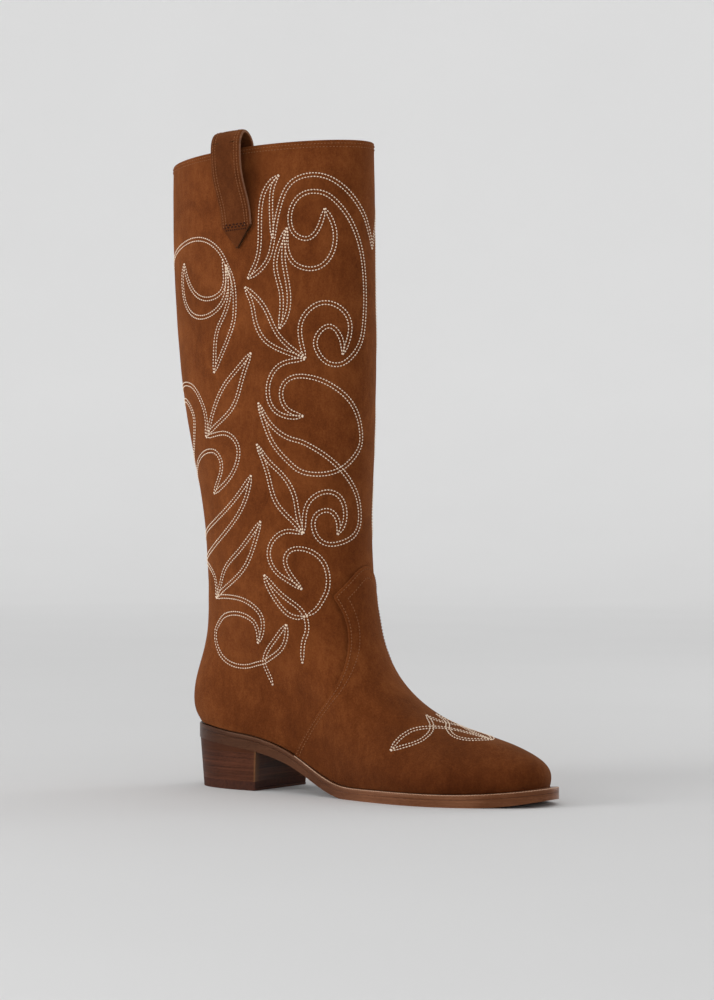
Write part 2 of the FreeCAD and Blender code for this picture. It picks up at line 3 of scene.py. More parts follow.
import bmesh
import bpy
import numpy as np
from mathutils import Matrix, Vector


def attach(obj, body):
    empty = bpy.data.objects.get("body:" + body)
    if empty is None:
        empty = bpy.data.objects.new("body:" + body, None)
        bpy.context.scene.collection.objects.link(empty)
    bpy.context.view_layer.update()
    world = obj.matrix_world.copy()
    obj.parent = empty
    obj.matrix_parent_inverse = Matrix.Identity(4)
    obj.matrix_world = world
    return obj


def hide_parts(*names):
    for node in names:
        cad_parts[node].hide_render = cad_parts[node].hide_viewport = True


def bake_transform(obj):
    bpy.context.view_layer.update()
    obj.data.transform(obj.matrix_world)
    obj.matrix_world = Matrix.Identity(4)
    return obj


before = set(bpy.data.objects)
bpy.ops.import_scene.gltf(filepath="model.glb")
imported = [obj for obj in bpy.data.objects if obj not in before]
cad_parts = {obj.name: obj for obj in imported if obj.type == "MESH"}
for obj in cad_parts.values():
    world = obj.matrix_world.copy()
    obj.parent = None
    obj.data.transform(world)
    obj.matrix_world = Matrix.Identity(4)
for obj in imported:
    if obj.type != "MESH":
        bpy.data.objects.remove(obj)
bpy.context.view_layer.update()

# Western boot for the right foot. Shapes are worked out in millimetres, in the frame's axes:
# +X to the toe, +Y to the medial side, +Z up, and turned into metres when a mesh is made.
MM = 0.001
PI = math.pi

# ---- the upper's base surface
# Profile stations from the feather line to the topline, as in the CAD model:
# front x, front z, back x, back z, half width of the leg there.
STATIONS = [
    (232.5, 12.2, -31.0, 42.5, 30.0), (233.0, 21.5, -36.5, 52.0, 31.0),
    (223.0, 31.0, -37.5, 63.0, 32.0), (197.0, 38.8, -35.0, 76.0, 34.0),
    (166.0, 46.5, -30.0, 92.0, 36.0), (134.5, 62.0, -27.0, 110.0, 37.5),
    (109.0, 92.5, -26.0, 133.0, 38.5), (99.0, 140.0, -26.5, 158.0, 39.5),
    (97.5, 183.0, -30.0, 187.0, 41.0), (99.5, 225.0, -38.5, 224.0, 42.5),
    (101.0, 275.0, -48.0, 270.0, 43.0), (101.0, 325.0, -54.0, 320.0, 42.5),
    (100.5, 375.0, -56.5, 370.0, 42.0), (100.0, 427.0, -57.0, 417.0, 41.0),
]
TOP = len(STATIONS) - 1
TOPLINE_CROWN = 1.5
# Sole outline: x, half width on the lateral side, half width on the medial side.
SOLE_OUTLINE = [
    (-33.0, 0.0, 0.0), (-31.5, 9.5, 9.5), (-27.0, 17.0, 17.0), (-18.0, 23.5, 23.5),
    (-4.0, 28.2, 28.2), (12.0, 30.0, 30.0), (32.0, 29.8, 29.0), (54.0, 29.5, 26.5),
    (78.0, 31.5, 26.0), (102.0, 36.0, 30.0), (124.0, 41.0, 36.0), (146.0, 45.0, 40.5),
    (166.0, 46.0, 43.0), (184.0, 43.5, 41.5), (201.0, 37.5, 37.0), (216.0, 29.5, 30.0),
    (228.0, 22.5, 23.0), (236.0, 13.0, 13.5), (238.5, 7.0, 7.3), (239.5, 0.0, 0.0),
]
# Feather line, where the upper meets the welt: x, z.
FEATHER = [(-34.0, 42.5), (-15.0, 41.3), (5.0, 38.8), (28.0, 36.0), (43.0, 32.5), (60.0, 26.2),
           (80.0, 16.2), (100.0, 9.0), (122.0, 7.6), (150.0, 7.8), (180.0, 7.8), (205.0, 8.4),
           (225.0, 10.0), (241.0, 12.0)]
HEEL_INSET = 1.0  # the upper stands this far in from the sole's edge at the heel
WELT_INSET = 4.5  # and this far along the forepart, where the welt shows
INSET_GROWS = (35.0, 105.0)  # x over which the one becomes the other
HEEL_PART = (0.0, 0.55)  # share of the way forward over which the fit to the heel fades out
TOE_SHIFT = 5.0  # the toe's tip lies this far to the medial side
TOE_SHIFT_X = (70.0, 241.0)  # x over which the foot turns there
TOE_ROUND = (0.78, 0.97)  # share of the way forward over which the toe turns round
TOE_ROUND_TOP = (2.0, 3.6)  # stations over which that fades out upwards
TIP_SHARE = 0.8  # share of the way forward whose arch the toe's round end keeps
LEG_BLEND = (2.6, 7.2)  # stations over which the foot's section becomes the leg's
SHIFT_FADE = (4.0, 7.5)  # stations over which the toe's turn fades out upwards
SAG_TOP = 3.0  # station up to which the section follows the feather line
RIDGE_RISE = 9.0  # slope of the ridge line behind the instep
ARCH_BULGE, ARCH_REACH = 0.10, 1.3  # fullness of the foot's arched section, and where it is
WELT_DEPTH = 3.2  # welt and rand, from top to bottom

# Edge of the vamp seen from the side, from above the instep down to the sole: x, z.
VAMP_EDGE_TOP = [(112.0, 176.0), (98.5, 149.5), (94.5, 138.8), (88.8, 129.5)]
VAMP_EDGE_SIDE = [(88.8, 129.5), (94.6, 117.0), (98.2, 103.0), (99.6, 88.0), (97.0, 71.0),
                  (84.5, 56.0), (71.5, 41.0), (62.0, 26.0), (58.0, 8.0)]

# Pull strap, mid thickness: y, z, from the outer point over the top to the inner one.
STRAP_PATH = [(-43.3, 357.0), (-43.3, 373.0), (-44.2, 383.0), (-46.6, 391.0), (-49.4, 399.0),
              (-51.2, 407.0), (-51.6, 415.0), (-51.2, 423.0), (-49.2, 430.0), (-45.0, 433.6),
              (-40.2, 431.8), (-36.9, 427.0), (-36.0, 420.0), (-36.1, 405.0), (-36.4, 378.0)]
STRAP_WIDTH = 24.0
STRAP_THICK = 2.2
STRAP_X = 25.5  # middle of the strap where it is sewn on
STRAP_BASE_Z = 366.0  # height about which it leans back
STRAP_LEAN = 3.6  # degrees
STRAP_POINT = 15.0  # length of its pointed end


def smooth(low, high, value):
    t = np.clip((np.asarray(value, float) - low) / (high - low), 0, 1)
    return t * t * (3 - 2 * t)


def spline(xs, ys):
    """Natural cubic spline through the points; ys may hold several numbers to a point."""
    xs, ys = np.asarray(xs, float), np.asarray(ys, float)
    n, h = len(xs), np.diff(xs)
    flat = ys.reshape(n, -1)
    system, rhs = np.eye(n), np.zeros_like(flat)
    for i in range(1, n - 1):
        system[i, i - 1:i + 2] = h[i - 1], 2 * (h[i - 1] + h[i]), h[i]
        rhs[i] = 6 * ((flat[i + 1] - flat[i]) / h[i] - (flat[i] - flat[i - 1]) / h[i - 1])
    bend = np.linalg.solve(system, rhs)

    def value(x):
        x = np.asarray(x, float)
        i = np.clip(np.searchsorted(xs, x.ravel()) - 1, 0, n - 2)
        a = ((xs[i + 1] - x.ravel()) / h[i])[:, None]
        b = 1 - a
        out = a * flat[i] + b * flat[i + 1]
        out += ((a ** 3 - a) * bend[i] + (b ** 3 - b) * bend[i + 1]) * h[i][:, None] ** 2 / 6
        return out.reshape(x.shape + ys.shape[1:])
    return value


def run_along(points):
    """Length of the line through the points, up to each of them."""
    return np.r_[0, np.cumsum(np.linalg.norm(np.diff(points, axis=0), axis=1))]


def between(at, run, values):
    """Values of a line's points, read off at these lengths along it."""
    return np.stack([np.interp(at, run, column) for column in values.T], -1)


def through(points):
    """Smooth curve through given points, as a function of 0 to 1 with even speed."""
    points = np.asarray(points, float)
    length = run_along(points)
    curve = spline(length / length[-1], points)
    fine = curve(np.linspace(0, 1, 40 * len(points)))
    run = run_along(fine)
    return lambda t: between(np.asarray(t, float) * run[-1], run, fine)


front_x, front_z, back_x, back_z, leg_half = [
    spline(np.arange(TOP + 1), column) for column in np.array(STATIONS).T]
feather = spline(*np.array(FEATHER).T)
SOLE_BACK, SOLE_TIP = SOLE_OUTLINE[0][0], SOLE_OUTLINE[-1][0]


def sole_angle(x, back, tip):
    """0 at the sole's back and pi at its tip."""
    return np.arccos(1 - 2 * np.clip((np.asarray(x, float) - back) / (tip - back), 0, 1))


outline_angles = sole_angle([row[0] for row in SOLE_OUTLINE], SOLE_BACK, SOLE_TIP)
outline_lateral = spline(outline_angles, [row[1] for row in SOLE_OUTLINE])
outline_medial = spline(outline_angles, [row[2] for row in SOLE_OUTLINE])


def toe_shift(x):
    """How far the foot's middle line has turned to the medial side."""
    start, end = TOE_SHIFT_X
    return TOE_SHIFT * np.clip((x - start) / (end - start), 0, 1) ** 2


def outline_at_angle(angle, side, inset):
    """Half width of the sole at an angle of its outline, inside its edge by inset."""
    half = np.where(side < 0, outline_lateral(angle), outline_medial(angle))
    return np.maximum(0, half - inset * np.sqrt(np.clip(np.sin(angle), 0, None)))


def upper_inset(x):
    return HEEL_INSET + (WELT_INSET - HEEL_INSET) * smooth(*INSET_GROWS, x)


def ridge_line():
    """x and z of the foot's top line, from the toe back over the instep."""
    v = np.linspace(0, 7, 351)
    x, z = front_x(v), front_z(v)
    first = int(np.argmax(x))
    order = np.argsort(x[first:])
    return x[first:][order], z[first:][order]


RIDGE_X, RIDGE_Z = ridge_line()


def ridge_height(x):
    return np.interp(x, RIDGE_X, RIDGE_Z) + RIDGE_RISE * np.clip(RIDGE_X[0] - x, 0, None)


def arch(x, z):
    """Half width of the foot at height z, as a share of the sole's half width there."""
    low = feather(x)
    rise = np.clip((z - low) / np.maximum(ridge_height(x) - low, 1e-6), 0, 1)
    return np.sqrt(1 - rise * rise) * (1 + ARCH_BULGE * np.sin(PI * np.minimum(1, rise * ARCH_REACH)))


def sag(v, x):
    """How far the low stations follow the feather line away from a straight run."""
    first = STATIONS[0]
    run = np.clip((x - first[2]) / (first[0] - first[2]), 0, 1)
    chord = first[3] + run * (first[1] - first[3])
    return np.where(v < SAG_TOP, (feather(x) - chord) * (1 - smooth(0.0, SAG_TOP, v)), 0.0)


def tip_arch(v):
    """Arch of the section from which the toe turns round."""
    x = back_x(v) + TIP_SHARE * (front_x(v) - back_x(v))
    z = back_z(v) + TIP_SHARE * (front_z(v) - back_z(v))
    return arch(x, z + sag(v, x))


def side_place(v, share):
    """x and z of the surface at station v, a share of the way from the back to the front."""
    xf, xb = front_x(v), back_x(v)
    x = xb + share * (xf - xb)
    z = back_z(v) + share * (front_z(v) - back_z(v)) + sag(v, x)
    crown = 4 * np.clip(share * (1 - share), 0, None)
    return x, z + TOPLINE_CROWN * crown * smooth(TOP - 2, TOP, v)


def base(v, theta):
    """Points of the base surface; theta runs from the back over the lateral side to the front at
    pi, and on over the medial side."""
    v, theta = np.broadcast_arrays(np.asarray(v, float), np.mod(theta, 2 * PI))
    side = np.where(theta < PI, -1, 1)
    phi = np.where(side < 0, theta, 2 * PI - theta)
    share = (1 - np.cos(phi)) / 2
    x, z = side_place(v, share)
    heel_x, tip_x = SOLE_BACK + HEEL_INSET, SOLE_TIP - WELT_INSET
    plan_x = x - (back_x(v) - heel_x) * (1 - smooth(*HEEL_PART, share))
    sole_half = outline_at_angle(sole_angle(plan_x, heel_x, tip_x), side, upper_inset(plan_x))
    foot_half = sole_half * arch(x, z)
    tip = smooth(*TOE_ROUND, share) * (1 - smooth(*TOE_ROUND_TOP, v))
    round_half = outline_at_angle(phi, side, upper_inset(x)) * tip_arch(v)
    foot_half = (1 - tip) * foot_half + tip * round_half
    leg = smooth(*LEG_BLEND, v)
    half = (1 - leg) * foot_half + leg * leg_half(v) * np.sin(phi)
    return np.stack([x, side * half + toe_shift(x) * (1 - smooth(*SHIFT_FADE, v)), z], -1)


def unit(vectors):
    return vectors / np.maximum(np.linalg.norm(vectors, axis=-1, keepdims=True), 1e-12)


def outward(v, theta):
    """Unit normals of the base surface, pointing out of the boot."""
    d = 0.02
    up = base(np.minimum(TOP, v + d), theta) - base(np.maximum(0.0, v - d), theta)
    along = base(v, theta + d) - base(v, theta - d)
    return unit(np.cross(along, up))


def station_at(theta, z):
    """Station at which the surface reaches height z, at angle theta."""
    theta, z = np.broadcast_arrays(np.asarray(theta, float), np.asarray(z, float))
    low, high = np.zeros(z.shape), np.full(z.shape, float(TOP))
    for _ in range(24):
        mid = (low + high) / 2
        below = base(mid, theta)[..., 2] < z
        low, high = np.where(below, mid, low), np.where(below, high, mid)
    return (low + high) / 2


# ---- meshes
def new_object(name, data):
    thing = bpy.data.objects.new(name, data)
    bpy.context.scene.collection.objects.link(thing)
    return thing


def mesh_piece(name, points, faces, material):
    """Smooth-shaded piece from points in millimetres."""
    mesh = bpy.data.meshes.new(name)
    mesh.from_pydata([tuple(p) for p in np.asarray(points) * MM], [], faces)
    mesh.validate()
    mesh.update()
    mesh.polygons.foreach_set("use_smooth", [True] * len(mesh.polygons))
    mesh.materials.append(material)
    return new_object(name, mesh)


def grid_faces(rows, columns, offset=0, around=False):
    """Faces of a grid of points, row by row; around joins its last column to the first."""
    i = np.arange(rows - 1)[:, None]
    j = np.arange(columns if around else columns - 1)[None, :]
    j2 = (j + 1) % columns
    quads = np.stack(np.broadcast_arrays(i * columns + j, i * columns + j2,
                                         (i + 1) * columns + j2, (i + 1) * columns + j), -1)
    return (quads.reshape(-1, 4) + offset).tolist()


def tube_faces(rows, columns):
    """Faces of a tube of points, with both its ends."""
    start, end = list(range(columns)), [(rows - 1) * columns + k for k in range(columns)]
    return grid_faces(rows, columns, around=True) + [start[::-1], end]


def bridge(rings, around=False):
    """Faces between neighbouring rings, each an array of point numbers."""
    faces = []
    for first, second in zip(rings, rings[1:]):
        for j in range(len(first) if around else len(first) - 1):
            k = (j + 1) % len(first)
            faces.append([int(first[j]), int(first[k]), int(second[k]), int(second[j])])
    return faces


def border_edges(faces):
    """Edges that only one face has, in that face's direction."""
    seen = dict.fromkeys((a, b) for face in faces for a, b in zip(face, face[1:] + face[:1]))
    return [(a, b) for a, b in seen if (b, a) not in seen]


def both_sides(faces, total):
    """The faces, and the same ones turned over on a second set of points."""
    return faces + [[p + total for p in face[::-1]] for face in faces]


def walls(edges, total):
    """Faces that join the two sets of points along these edges."""
    return [[b, a, a + total, b + total] for a, b in edges]


def clean(piece):
    """Drops loose points and makes the faces look outwards."""
    work = bmesh.new()
    work.from_mesh(piece.data)
    bmesh.ops.delete(work, geom=[p for p in work.verts if not p.link_faces], context="VERTS")
    bmesh.ops.recalc_face_normals(work, faces=work.faces)
    work.to_mesh(piece.data)
    work.free()
    return piece


# ---- the vamp's edge
def station_and_share(target):
    """Station, and share of the way forward, of points given as x and z, by Newton's steps."""
    v = np.interp(target[:, 1], [8, 60, 130, 176], [0.2, 4.0, 7.0, 8.2])
    share = np.full(len(v), 0.8)
    step_v, step_share = 0.01, 0.002
    for _ in range(60):
        x, z = side_place(v, share)
        x_up, z_up = side_place(v + step_v, share)
        x_on, z_on = side_place(v, share + step_share)
        a, b = (x_up - x) / step_v, (x_on - x) / step_share
        c, d = (z_up - z) / step_v, (z_on - z) / step_share
        miss_x, miss_z = target[:, 0] - x, target[:, 1] - z
        det = a * d - b * c
        v = np.clip(v + 0.6 * (d * miss_x - b * miss_z) / det, -0.5, TOP)
        share = np.clip(share + 0.6 * (a * miss_z - c * miss_x) / det, 0.02, 1.4)
    return v, share


def seam_line():
    """Dense points on the vamp's edge, from the lateral feather over the instep to the medial one,
    as station and angle."""
    top = through(VAMP_EDGE_TOP)(np.linspace(0, 1, 160))
    side = through(VAMP_EDGE_SIDE)(np.linspace(0, 1, 260))
    v, share = station_and_share(np.concatenate([top, side[1:]]))
    on = np.flatnonzero((share < 1) & (v > 0))
    v, share = v[on[0]:on[-1] + 1], share[on[0]:on[-1] + 1]
    phi = np.arccos(1 - 2 * share)
    at_sole = phi[-1] + (phi[-1] - phi[-2]) * v[-1] / max(v[-2] - v[-1], 1e-6)
    lateral_v = np.r_[0.0, v[::-1]]
    lateral_t = np.r_[at_sole, phi[::-1]]
    stations = np.r_[lateral_v, lateral_v[-1], lateral_v[::-1]]
    angles = np.r_[lateral_t, PI, 2 * PI - lateral_t[::-1]]
    points = base(stations, angles)
    run = run_along(points)
    even = np.arange(0, run[-1], 0.5)
    return np.interp(even, run, stations), np.interp(even, run, angles)


SEAM_V, SEAM_T = seam_line()
SEAM = base(SEAM_V, SEAM_T)
SEAM_OUT = outward(SEAM_V, SEAM_T)
SEAM_ALONG = unit(np.gradient(SEAM, axis=0))
SEAM_INTO = unit(np.cross(SEAM_ALONG, SEAM_OUT))
if SEAM_INTO[len(SEAM) // 4, 0] < 0:
    SEAM_INTO = -SEAM_INTO


def seam_distance(points):
    """Signed distance to the vamp's edge, positive on the vamp's side, and the nearest index."""
    flat = points.reshape(-1, 3)
    index = np.empty(len(flat), int)
    for start in range(0, len(flat), 4000):
        block = flat[start:start + 4000]
        gap = ((block[:, None] - SEAM[None, ::2]) ** 2).sum(-1)
        index[start:start + 4000] = gap.argmin(1) * 2
    offset = flat - SEAM[index]
    sign = np.where((offset * SEAM_INTO[index]).sum(-1) > 0, 1, -1)
    return (np.linalg.norm(offset, axis=1) * sign).reshape(points.shape[:-1]), \
        index.reshape(points.shape[:-1])


def border_chain(faces, points, skip):
    """Border of the faces, without the edges marked skip, as one chain of point numbers. It starts
    on the lateral side."""
    after = {a: b for a, b in border_edges(faces) if not (skip[a] and skip[b])}
    chain = list(set(after) - set(after.values()))
    while chain[-1] in after:
        chain.append(after[chain[-1]])
    return chain if points[chain[0]][1] < points[chain[-1]][1] else chain[::-1]


# ---- soft shape of the suede
SWELLS = ((0.30, 90.0, 3), (0.12, 34.0, 5))  # height and size of the slow swelling, and its seed
FOLDS = (0.22, 22.0, 11)  # the same for the ankle's folds
CLOSING_SEAM = 1.5 * PI  # angle of the seam that closes the shaft
GROOVE_DEPTH, GROOVE_WIDTH = 0.45, 1.1
LEG_RADIUS = 45.0
ANKLE_HEIGHT, ANKLE_SPREAD = 118.0, 34.0
ANKLE_SIDE = 0.62 * PI  # angle at which the ankle's folds are deepest


def sway(points, size, seed):
    """Slow, even swelling and dipping of leather, between about -1 and 1."""
    rng = np.random.default_rng(seed)
    total = np.zeros(points.shape[:-1])
    for _ in range(7):
        way = unit(rng.normal(size=3)) * 2 * PI / (size * rng.uniform(0.7, 1.5))
        total += np.sin(points @ way + rng.uniform(0, 2 * PI))
    return total / 3.2


def bell(value, centre, width):
    return np.exp(-((value - centre) / width) ** 2)


def relief(points, v, theta):
    """How far the suede stands off the CAD surface, in millimetres."""
    out = sum(height * sway(points, size, seed) for height, size, seed in SWELLS)
    ankle = bell(points[..., 2], ANKLE_HEIGHT, ANKLE_SPREAD) * (0.5 + 0.5 * np.cos(theta - ANKLE_SIDE))
    height, size, seed = FOLDS
    out += height * ankle * sway(points * np.array([0.6, 0.6, 1.6]), size, seed)
    return out * smooth(0.0, 1.0, v)


def seam_groove(theta):
    """The closing seam, a shallow groove down the medial side."""
    beside = np.abs(np.mod(theta, 2 * PI) - CLOSING_SEAM) * LEG_RADIUS
    return -GROOVE_DEPTH * bell(beside, 0.0, GROOVE_WIDTH)


SHAFT_COLUMNS = 300
SHAFT_THICK = 1.3
SHAFT_LAP = 7.0  # the shaft runs this far under the vamp
CREASE_DEPTH = 0.7  # groove in the shaft beside the vamp's edge
RIM = 1.05  # half thickness of the turned topline
RIM_STEPS = 8
VAMP_LIFT = 1.25  # outer face of the vamp above the base surface
VAMP_EDGE_ROUND = 0.9
# Profile of the vamp's rounded edge: share of the way out, share of the lift.
VAMP_EDGE_PROFILE = ((0.35, 0.985), (0.62, 0.93), (0.82, 0.80), (0.94, 0.58), (1.0, 0.25),
                     (0.97, 0.02))


def shaft_rows():
    """Stations of the shaft's rows of points, closer together near the topline."""
    low = np.linspace(0.0, 6.9, 150)
    high = np.linspace(6.9, TOP - RIM / 50, 170)[1:]
    return np.r_[0.0, 0.03, 0.07, low[low > 0.1], high]


def shaft_skin(v, t, ground, distance):
    """Height of the shaft's outer face above the base surface."""
    tuck = -1.0 * (1 - smooth(0.0, 0.10, v)) ** 2
    skin = relief(ground, v, t) + seam_groove(t)
    skin = np.where(distance > -2.0, np.minimum(skin, 0.0), skin)
    crease = CREASE_DEPTH * bell(distance, -0.5, 1.1) * smooth(0.0, 0.3, v)
    return skin - crease + tuck


def topline_rings(row, angles):
    """Rings of points over the turned topline, from its outer to its inner side."""
    up = unit(base(TOP, angles) - base(TOP - 0.1, angles))
    foot, normal = base(row, angles), outward(row, angles)
    rings = []
    for step in range(1, RIM_STEPS):
        a = PI * step / RIM_STEPS
        rings.append(foot + normal * RIM * (math.cos(a) - 1) + up * RIM * math.sin(a))
    rings.append(foot - normal * 2 * RIM)
    rings.append(base(TOP - 0.06, angles) - normal * 2 * RIM)
    return rings


def make_shaft(material):
    """Leg of the boot, in one sheet that ends under the vamp and is turned over at the topline."""
    rows = shaft_rows()
    angles = np.linspace(0, 2 * PI, SHAFT_COLUMNS, endpoint=False) + 0.5 * PI / SHAFT_COLUMNS
    v, t = np.meshgrid(rows, angles, indexing="ij")
    ground, normal = base(v, t), outward(v, t)
    distance, _ = seam_distance(ground)
    outer = ground + normal * shaft_skin(v, t, ground, distance)[..., None]
    inner = ground - normal * SHAFT_THICK
    rim = topline_rings(rows[-1], angles)
    keep = (distance < SHAFT_LAP).ravel()
    quads = np.array(grid_faces(len(rows), SHAFT_COLUMNS, around=True))
    faces = quads[keep[quads].all(1)].tolist()
    total, top = v.size, (len(rows) - 1) * SHAFT_COLUMNS
    inner_start = total + top - 2 * SHAFT_COLUMNS
    starts = [top] + [2 * total + k * SHAFT_COLUMNS for k in range(len(rim))] + [inner_start]
    solid = both_sides(faces, total)
    solid += bridge([start + np.arange(SHAFT_COLUMNS) for start in starts], around=True)
    under_rim = set(range(inner_start, total + top + SHAFT_COLUMNS))
    solid = [face for face in solid if not under_rim.issuperset(face)]
    solid += walls([edge for edge in border_edges(faces) if min(edge) < top], total)
    points = np.concatenate([outer.reshape(-1, 3), inner.reshape(-1, 3)] + rim)
    return clean(mesh_piece("shaft_suede", points, solid, material))


def along_seam(near):
    """Points of the vamp's edge nearest to a chain of border points, evened out, with their
    directions into the vamp and outwards."""
    place = np.maximum.accumulate(near.astype(float))
    for _ in range(6):
        place[1:-1] = (place[:-2] + 2 * place[1:-1] + place[2:]) / 4
    k = np.arange(len(SEAM))
    edge, into, out = [between(place, k, values) for values in (SEAM, SEAM_INTO, SEAM_OUT)]
    return edge, unit(into), unit(out)


def renumber(faces):
    """Faces on only the points that they use, and those points' old numbers."""
    used = sorted({p for face in faces for p in face})
    number = {old: new for new, old in enumerate(used)}
    return [[number[p] for p in face] for face in faces], used


def make_vamp(material):
    """Foot of the boot, in one sheet that laps over the shaft with a rounded edge."""
    rows = np.r_[0.0, 0.03, 0.07, np.arange(0.11, 8.3, 0.05)]
    angles = np.radians(np.arange(60.0, 300.5, 0.8))
    v, t = np.meshgrid(rows, angles, indexing="ij")
    ground = base(v, t)
    distance, near = seam_distance(ground)
    keep = (distance > VAMP_EDGE_ROUND + 0.3).ravel()
    quads = np.array(grid_faces(len(rows), len(angles)))
    faces, used = renumber(quads[keep[quads].all(1)].tolist())
    v, t, distance, near = [values.ravel()[used] for values in (v, t, distance, near)]
    flat, normal = ground.reshape(-1, 3)[used], outward(v, t)
    on_sole = v < 1e-6
    chain = border_chain(faces, flat, on_sole)
    edge, into, out = along_seam(near[chain])
    flat[chain] = edge + into * VAMP_EDGE_ROUND
    normal[chain] = out
    tuck = 1 - 0.95 * (1 - smooth(0.0, 0.10, v)) ** 2
    lift = VAMP_LIFT * tuck + relief(flat, v, t)
    lift = lift - 0.12 * bell(distance, 0.0, 7.0) * (v > 0.2)
    total, chain = len(flat), np.array(chain)
    solid = both_sides(faces, total)
    solid += walls([edge for edge in border_edges(faces) if on_sole[list(edge)].all()], total)
    points, rings = [flat + normal * lift[:, None], flat + normal * 0.02], [chain]
    for share, height in VAMP_EDGE_PROFILE:
        rings.append(sum(len(part) for part in points) + np.arange(len(chain)))
        points.append(edge + into * VAMP_EDGE_ROUND * (1 - share)
                      + out * (lift[chain] * height)[:, None])
    rings.append(chain + total)
    solid += bridge(rings)
    return clean(mesh_piece("vamp_suede", np.concatenate(points), solid, material))


def sheet_piece(name, material, v_rows, angles, outer, inner, around=False):
    """Closed thin sheet between two distances from the base surface."""
    v, t = np.meshgrid(v_rows, angles, indexing="ij")
    ground, normal = base(v, t), outward(v, t)
    faces = grid_faces(*v.shape, around=around)
    solid = both_sides(faces, v.size) + walls(border_edges(faces), v.size)
    points = np.concatenate([(ground + normal * off).reshape(-1, 3) for off in (outer, inner)])
    return clean(mesh_piece(name, points, solid, material))


# ---- stitches
# Rings along one stitch: place in its length, thickness and rise in its radius.
BEAD_RINGS = ((-0.5, 0.30, -0.5), (-0.36, 0.80, -0.12), (0.0, 1.0, 0.12), (0.36, 0.80, -0.12),
              (0.5, 0.30, -0.5))
BEAD_SIDES = 6
STITCH_TURN = 0.07  # spread of the stitches' directions
STITCH_SIZE = (0.92, 1.08)  # smallest and largest thickness


def bead(length, radius):
    """One stitch along +X, a rounded grain that dips at its ends."""
    points = []
    for place, size, rise in BEAD_RINGS:
        for k in range(BEAD_SIDES):
            a = 2 * PI * (k + 0.5) / BEAD_SIDES
            points.append((place * length, radius * size * math.cos(a),
                           radius * (size * math.sin(a) + rise)))
    return np.array(points), tube_faces(len(BEAD_RINGS), BEAD_SIDES)


def lay_stitches(rows, pitch, length, radius):
    """Points and faces of stitches along rows, each a pair of dense points and outward normals."""
    rng = np.random.default_rng(1)
    shape, shape_faces = bead(length, radius)
    points, faces = [], []
    for line, normal in rows:
        run = run_along(line)
        count = max(1, int(round(run[-1] / pitch)))
        middle = (np.arange(count) + 0.5) * run[-1] / count
        half = length * 0.4
        way = unit(between(middle + half, run, line) - between(middle - half, run, line))
        up = between(middle, run, normal)
        up = unit(up - way * (up * way).sum(-1, keepdims=True))
        across = np.cross(up, way)
        turn = rng.normal(0, STITCH_TURN, count)[:, None]
        way, across = way + across * turn, across - way * turn
        size = rng.uniform(*STITCH_SIZE, count)[:, None, None]
        placed = (way[:, None] * shape[None, :, :1] + across[:, None] * shape[None, :, 1:2] * size
                  + up[:, None] * shape[None, :, 2:] * size + between(middle, run, line)[:, None])
        start = sum(len(p) for p in points)
        points.append(placed.reshape(-1, 3))
        for i in range(count):
            faces += [[p + start + i * len(shape) for p in face] for face in shape_faces]
    return np.concatenate(points), faces


# ---- pull strap
STRAP_TURN = math.radians(STRAP_LEAN)
strap_curve = through(STRAP_PATH)
STRAP_RUN = sum(math.dist(a, b) for a, b in zip(STRAP_PATH, STRAP_PATH[1:]))


def lean(points):
    """Leans points given upright over STRAP_X back with the strap."""
    x, z = points[..., 0] - STRAP_X, points[..., 2] - STRAP_BASE_Z
    c, s = math.cos(STRAP_TURN), math.sin(STRAP_TURN)
    return np.stack([STRAP_X + x * c - z * s, points[..., 1], STRAP_BASE_Z + x * s + z * c], -1)


def strap_point(along, across, off):
    """Point of the strap: millimetres along its length, across its width, and off its middle."""
    t = np.clip(along / STRAP_RUN, 0, 1)
    step = 0.004
    at = strap_curve(t)
    way = unit(strap_curve(np.minimum(1, t + step)) - strap_curve(np.maximum(0, t - step)))
    y = at[..., 0] - way[..., 1] * off
    z = at[..., 1] + way[..., 0] * off
    return lean(np.stack([STRAP_X + across, y, z], -1))


def strap_dish(along, across):
    """The strap's edges curl in a little where it is free, as suede folded lengthways does."""
    free = smooth(20.0, 45.0, along) * smooth(STRAP_RUN - 20, STRAP_RUN - 50, along)
    return -0.5 * free * (across / (STRAP_WIDTH / 2)) ** 2


FACE_POINTS = 17  # points across each face of the strap's section
CUT_FACES = 5  # faces of its section on each cut edge
PRESSED, PRESSED_END = 0.25, 18.0  # the sewn ends are thinner by this share, over this length


def strap_section():
    """Section of the strap, across and off its middle: crowned faces and notched cut edges."""
    half, thick = STRAP_WIDTH / 2, STRAP_THICK / 2
    face = [(w, thick + 0.06 * math.cos(w / half * PI / 2))
            for w in np.linspace(0.45 - half, half - 0.45, FACE_POINTS)]
    edge = [(half - 0.14, thick - 0.14), (half, thick - 0.5), (half - 0.05, 0.22), (half - 0.28, 0.0)]
    one_side = face + edge + [(w, -n) for w, n in edge[-2::-1]]
    return np.array(one_side + [(-w, -n) for w, n in one_side])


